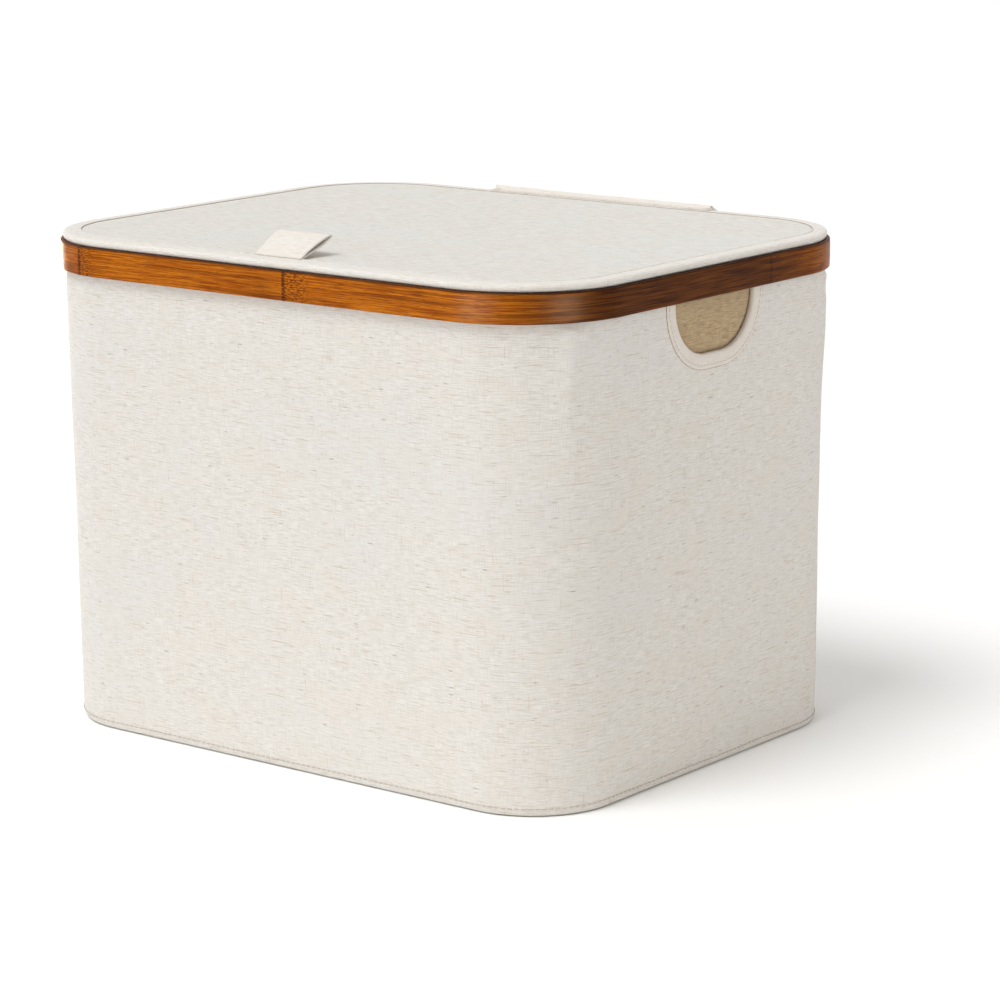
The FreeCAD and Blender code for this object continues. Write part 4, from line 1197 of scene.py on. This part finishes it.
# ------------------------------------------------------------------ the hinge tape
T = 0.7 * MM
t_lo, t_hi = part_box("tape_anchor")
TAPE = t_hi.x
LEG_Y = t_lo.y + T / 2
LINK_Y = (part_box("tape_link")[0].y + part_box("tape_link")[1].y) / 2
OVER_Z = t_hi.z - T / 2
MID_Z = (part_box("tape_link")[0].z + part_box("tape_link")[1].z) / 2
HEM_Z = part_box("tape_hem")[0].z + T / 2
FOLD_Z = 301.3 * MM
HEM_FRONT = 153.4 * MM


def tape_sheet(name, path, bend, cols=86):
    """The tape's middle surface from a path of (y, z), then its thickness."""
    rows, vs, v = [], [], 0.0
    for k, (y, z) in enumerate(path):
        if k:
            v += math.hypot(y - path[k - 1][0], z - path[k - 1][1])
        vs.append(v)
        rows.append([bend(lerp(-TAPE, TAPE, i / cols), y, z, k) for i in range(cols + 1)])
    us = [lerp(-TAPE, TAPE, i / cols) for i in range(cols + 1)]
    return thicken(grid(name, rows, us, vs), T, 0.0)


def arc_path(cy, cz, r, a0, a1, n):
    turns = [math.radians(lerp(a0, a1, k / n)) for k in range(n + 1)]
    return [(cy + r * math.cos(a), cz + r * math.sin(a)) for a in turns]


low_path = [(LEG_Y, lerp(t_lo.z, OVER_Z - 1.7 * MM, k / 14)) for k in range(14)]
low_path += arc_path(LEG_Y + 1.6 * MM, OVER_Z - 1.6 * MM, 1.6 * MM, 180, 90, 7)
low_path += [(lerp(LEG_Y + 1.6 * MM, LINK_Y - 1.5 * MM, k / 6), OVER_Z) for k in range(1, 6)]
low_path += arc_path(LINK_Y - 1.3 * MM, OVER_Z + 1.3 * MM, 1.3 * MM, 270, 360, 8)
low_path += [(LINK_Y, lerp(OVER_Z + 1.3 * MM, MID_Z, k / 4)) for k in range(1, 5)]
low_path[-1] = (LINK_Y, MID_Z)


def low_bend(x, y, z, k):
    o = 0.10 * MM * ripple((x, y, z), 30, 3.0) * smooth(0, 4, k) * (1 - smooth(12, 15, k))
    return (x, y - abs(o) * 0.6, z)


anchor = tape_sheet("hinge_tape_low", low_path, low_bend)
paint(anchor, tape_cloth)
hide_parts("tape_anchor", "tape_link")
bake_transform(anchor)

hem_path = [(LINK_Y, lerp(MID_Z, FOLD_Z - 1.3 * MM, k / 4)) for k in range(5)]
hem_path += arc_path(LINK_Y - 1.0 * MM, FOLD_Z - 1.0 * MM, 1.0 * MM, 12, 104, 9)
edge_y = LID_D / 2
hem_path += [(edge_y + 1.0 * MM, FOLD_Z - 0.42 * MM), (edge_y + 0.3 * MM, FOLD_Z - 0.86 * MM),
             (edge_y - 0.5 * MM, HEM_Z + 0.20 * MM), (edge_y - 1.4 * MM, HEM_Z + 0.05 * MM)]
hem_path += [(lerp(edge_y - 1.4 * MM, HEM_FRONT, k / 8), HEM_Z + 0.12 * MM)
             for k in range(1, 9)]


def hem_bend(x, y, z, k):
    t = x / TAPE
    if y > edge_y + 0.2 * MM:
        peak = smooth(MID_Z + 0.5 * MM, FOLD_Z, z)
    else:
        peak = smooth(edge_y - 1.5 * MM, edge_y + 0.4 * MM, y) * 0.7
    bow = (0.42 + 0.50 * smooth(0.35, 1.0, -t) - 0.10 * smooth(0.5, 1.0, t)
           + 0.12 * ripple((x, 0, 0), 38, 5.0))
    x2 = (x - 1.6 * MM * peak * smooth(0.88, 1.0, -t)
          - 3.4 * MM * peak * smooth(0.80, 1.0, t))
    y2 = y + 0.12 * MM * ripple((x, 0, z), 40, 2.0) * peak
    z2 = z + bow * MM * peak
    if y < edge_y - 1.5 * MM:
        y2 = (y + 0.22 * MM * ripple((x, 0, 0), 26, 4.0)
              * smooth(edge_y - 3 * MM, HEM_FRONT, y))
        z2 = z + 0.10 * MM * max(0.0, ripple((x, y, 0), 60, 1.0)) * (1 - peak)
    return (x2, y2, z2)


hem = tape_sheet("hinge_tape_high", hem_path, hem_bend)
paint(hem, tape_cloth)
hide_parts("tape_hem")
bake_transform(hem)

row_y = HEM_FRONT + 1.3 * MM
TACKS = (-82 * MM, 82 * MM)
row_xs = [lerp(-TAPE + 3 * MM, TAPE - 3 * MM, k / 80) for k in range(81)]
hem_row = [((x, row_y + 0.2 * MM * ripple((k * 2 * MM, 0, 0), 26, 4.0),
             HEM_Z + T / 2 + 0.10 * MM), (0, 0, 1)) for k, x in enumerate(row_xs)]
made = [stitches("h", hem_row, gap=0.9 * MM)]
for x in TACKS:
    made.append(bar_tack("b", (x, row_y + 2.0 * MM, HEM_Z + T / 2 + 0.12 * MM), (0, 1, 0),
                         (1, 0, 0), (0, 0, 1), 4.6 * MM, 2.0 * MM, rows=10))
put(join("hinge_hem_stitches", made), thread_pale, "lid", ["tape_hem_stitching"])
made = []
for z in (271 * MM, 280 * MM):
    leg_row = [((x, LEG_Y - T / 2 - 0.03 * MM, z), (0, -1, 0)) for x in row_xs]
    made.append(stitches("l", leg_row, gap=0.9 * MM))
for x in TACKS:
    made.append(bar_tack("b", (x, LEG_Y - T / 2, 275.5 * MM), (0, 0, 1), (1, 0, 0),
                         (0, -1, 0), 9.0 * MM, 1.6 * MM, rows=14))
put(join("hinge_leg_stitches", made), thread_pale, "bin", ["tape_anchor_stitching"])

# ------------------------------------------------------------------ the pull tab
ROOT = Vector((0, -147.2 * MM, 301.0 * MM))
tilt = math.radians(23)
along = Vector((0, math.cos(tilt), math.sin(tilt)))
norm = Vector((0, -math.sin(tilt), math.cos(tilt)))
TAB_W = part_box("pull_tab")[1].x
TAB_L = 25.6 * MM


def tab_point(u, x):
    """u is the way round the folded strip: 0 at its upper root end, 1 at the
    fold and 2 at its lower root end."""
    t = x / TAB_W
    upper = u <= 1
    f = u if upper else 2 - u
    # The two layers part like a leaf between the seam and the fold, most at
    # the right-hand edge.
    part = 0.30 + 0.80 * smooth(-0.9, 1.0, t)
    leaf = math.sin(math.pi * min(1.0, f) ** 1.15) ** 0.8 if 0 < f < 1 else 0.0
    lip = math.sqrt(max(0.0, 1 - max(0.0, (f - 0.965) / 0.035) ** 2))
    root = smooth(0.0, 0.12, f)
    if upper:
        n = lerp(0.10, 0.38 * lip + 1.25 * part * leaf, root)
    else:
        n = lerp(-0.62, -0.38 * lip - 0.55 * part * leaf, root)
    n += 0.20 * t * f + 0.08 * ripple((x, f * TAB_L, u), 60, 3.0)
    l = TAB_L * f - 1.6 * MM * (1 - smooth(0, 0.1, f)) - 0.4 * MM
    p = ROOT + along * l + norm * (n * MM)
    left = lerp(-18.4, -21.6, smooth(0.0, 0.95, f)) if upper else lerp(-18.4, -19.4, f)
    right = lerp(16.8, 18.4, smooth(0.0, 0.8, f))
    p.x = lerp(left, right, (t + 1) / 2) * MM
    return p


us_tab = [k / 30 * 0.93 for k in range(31)]
us_tab += [0.93 + 0.07 * math.sin(math.pi / 2 * k / 9) for k in range(1, 10)]
us_tab += [2 - u for u in reversed(us_tab[:-1])]
cols = 28
tab_xs = [lerp(-TAB_W, TAB_W, i / cols) for i in range(cols + 1)]
rows = [[tab_point(u, x) for x in tab_xs] for u in us_tab]
vs = [0.0]
for a, b in zip(rows, rows[1:]):
    vs.append(vs[-1] + (a[cols // 2] - b[cols // 2]).length)
tab = thicken(grid("pull_tab_strip", rows, tab_xs, vs), 0.72 * MM, 0.0)
paint(tab, tab_cloth)
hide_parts("pull_tab")
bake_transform(tab)

# ------------------------------------------------------------------ stage, light, camera
def stage_floor():
    verts, faces = [(0, 0, 0)], []
    rings_r = [0.25, 0.5, 1, 2, 4, 8, 14, 24]
    n = 64
    for r in rings_r:
        for i in range(n):
            a = 2 * math.pi * i / n
            verts.append((r * math.cos(a), r * math.sin(a), 0))
    for i in range(n):
        faces.append((0, 1 + i, 1 + (i + 1) % n))
    for k in range(len(rings_r) - 1):
        for i in range(n):
            j = (i + 1) % n
            faces.append((1 + k * n + i, 1 + (k + 1) * n + i, 1 + (k + 1) * n + j, 1 + k * n + j))
    ob = make("studio_floor", verts, faces, shade=False)
    g = Nodes("floor_white")
    nz = g.noise(g.obj(), scale=3.0, detail=2.0)
    g.set(Base_Color=g.mix(g.ramp(nz, 0.3, 0.7), (0.95, 0.952, 0.95), (0.965, 0.965, 0.96)), Roughness=0.8)
    g.sockets(Specular_IOR_Level=0.1)
    paint(ob, g.m)
    ob.location.z = -0.0002


stage_floor()

world = bpy.data.worlds.new("studio")
bpy.context.scene.world = world
world.use_nodes = True
wt = world.node_tree
bg = wt.nodes["Background"]
# The room is brighter on the left and towards the front than on the right.
where = wt.nodes.new("ShaderNodeTexCoord")
toward = wt.nodes.new("ShaderNodeVectorMath")
toward.operation = "DOT_PRODUCT"
toward.inputs[1].default_value = (-0.92, -0.38, 0.0)
wt.links.new(where.outputs["Generated"], toward.inputs[0])
shade = wt.nodes.new("ShaderNodeMapRange")
shade.inputs["From Min"].default_value = -1.0
shade.inputs["From Max"].default_value = 1.0
shade.inputs["To Min"].default_value = 0.505
shade.inputs["To Max"].default_value = 0.85
wt.links.new(toward.outputs["Value"], shade.inputs["Value"])
wt.links.new(shade.outputs["Result"], bg.inputs["Strength"])
tint = wt.nodes.new("ShaderNodeMix")
tint.data_type = "RGBA"
tint.inputs[6].default_value = (1.0, 0.965, 0.925, 1)
tint.inputs[7].default_value = (1.0, 1.0, 1.0, 1)
span = wt.nodes.new("ShaderNodeMapRange")
span.inputs["From Min"].default_value = -0.8
span.inputs["From Max"].default_value = 0.4
wt.links.new(toward.outputs["Value"], span.inputs["Value"])
wt.links.new(span.outputs["Result"], tint.inputs[0])
wt.links.new(tint.outputs[2], bg.inputs["Color"])


def sun(name, towards, strength, angle):
    l = bpy.data.lights.new(name, "SUN")
    l.energy = strength
    l.angle = math.radians(angle)
    ob = bpy.data.objects.new(name, l)
    bpy.context.scene.collection.objects.link(ob)
    ob.rotation_euler = Vector(towards).to_track_quat("Z", "Y").to_euler()


sun("key", (-0.12, -0.45, 0.88), 1.50, 28)


def softbox(name, at, aim, size, power, colour=(1, 1, 1)):
    l = bpy.data.lights.new(name, "AREA")
    l.shape = "RECTANGLE"
    l.size, l.size_y = size
    l.energy = power
    l.color = colour
    ob = bpy.data.objects.new(name, l)
    bpy.context.scene.collection.objects.link(ob)
    ob.location = at
    ob.rotation_euler = (Vector(at) - Vector(aim)).to_track_quat("Z", "Y").to_euler()
    return ob


# Warm strip lights that show only in reflections, as soft gleams on the hoop:
# place, aim, size and power.
GLEAMS = {
    "gleam_right": ((1.054, -0.331, 0.143), (0.189, -0.131, 0.287), (0.42, 0.2), 13.0),
    "gleam_front": ((0.025, -1.04, 0.143), (0.149, -0.160, 0.287), (0.44, 0.2), 14.0),
    "gleam_left": ((-0.917, 0.377, 0.16), (-0.18, -0.14, 0.287), (0.36, 0.24), 8.0),
}
for name, spec in GLEAMS.items():
    box = softbox(name, *spec, (1.0, 0.80, 0.56))
    box.visible_diffuse = False
    box.visible_camera = False
# A weak low panel on the right lightens the shade there.
low_fill = softbox("low_fill", (1.0, 0.15, 0.36), (0.95, 0.15, 0.0), (0.55, 0.8), 0.5)
low_fill.visible_camera = False
low_fill.visible_glossy = False

AZ, EL, ROLL = math.radians(37.94), math.radians(12.31), math.radians(0.28)
side_v = Vector((math.cos(AZ), math.sin(AZ), 0))
back_v = Vector((math.sin(AZ) * math.cos(EL), -math.cos(AZ) * math.cos(EL), math.sin(EL)))
up_v = back_v.cross(side_v)
target = side_v * 0.03265 + Vector((0, 0, 0.1334))
cam_x = side_v * math.cos(ROLL) - up_v * math.sin(ROLL)
cam_y = side_v * math.sin(ROLL) + up_v * math.cos(ROLL)
cam_data = bpy.data.cameras.new("camera")
cam_data.lens = 128.4
cam_data.sensor_width = 36
cam_data.clip_end = 100
cam = bpy.data.objects.new("camera", cam_data)
bpy.context.scene.collection.objects.link(cam)
m = Matrix((cam_x, cam_y, back_v)).transposed().to_4x4()
m.translation = target + back_v * 2.165
cam.matrix_world = m
bpy.context.scene.camera = cam
bpy.context.scene.view_settings.view_transform = "Standard"
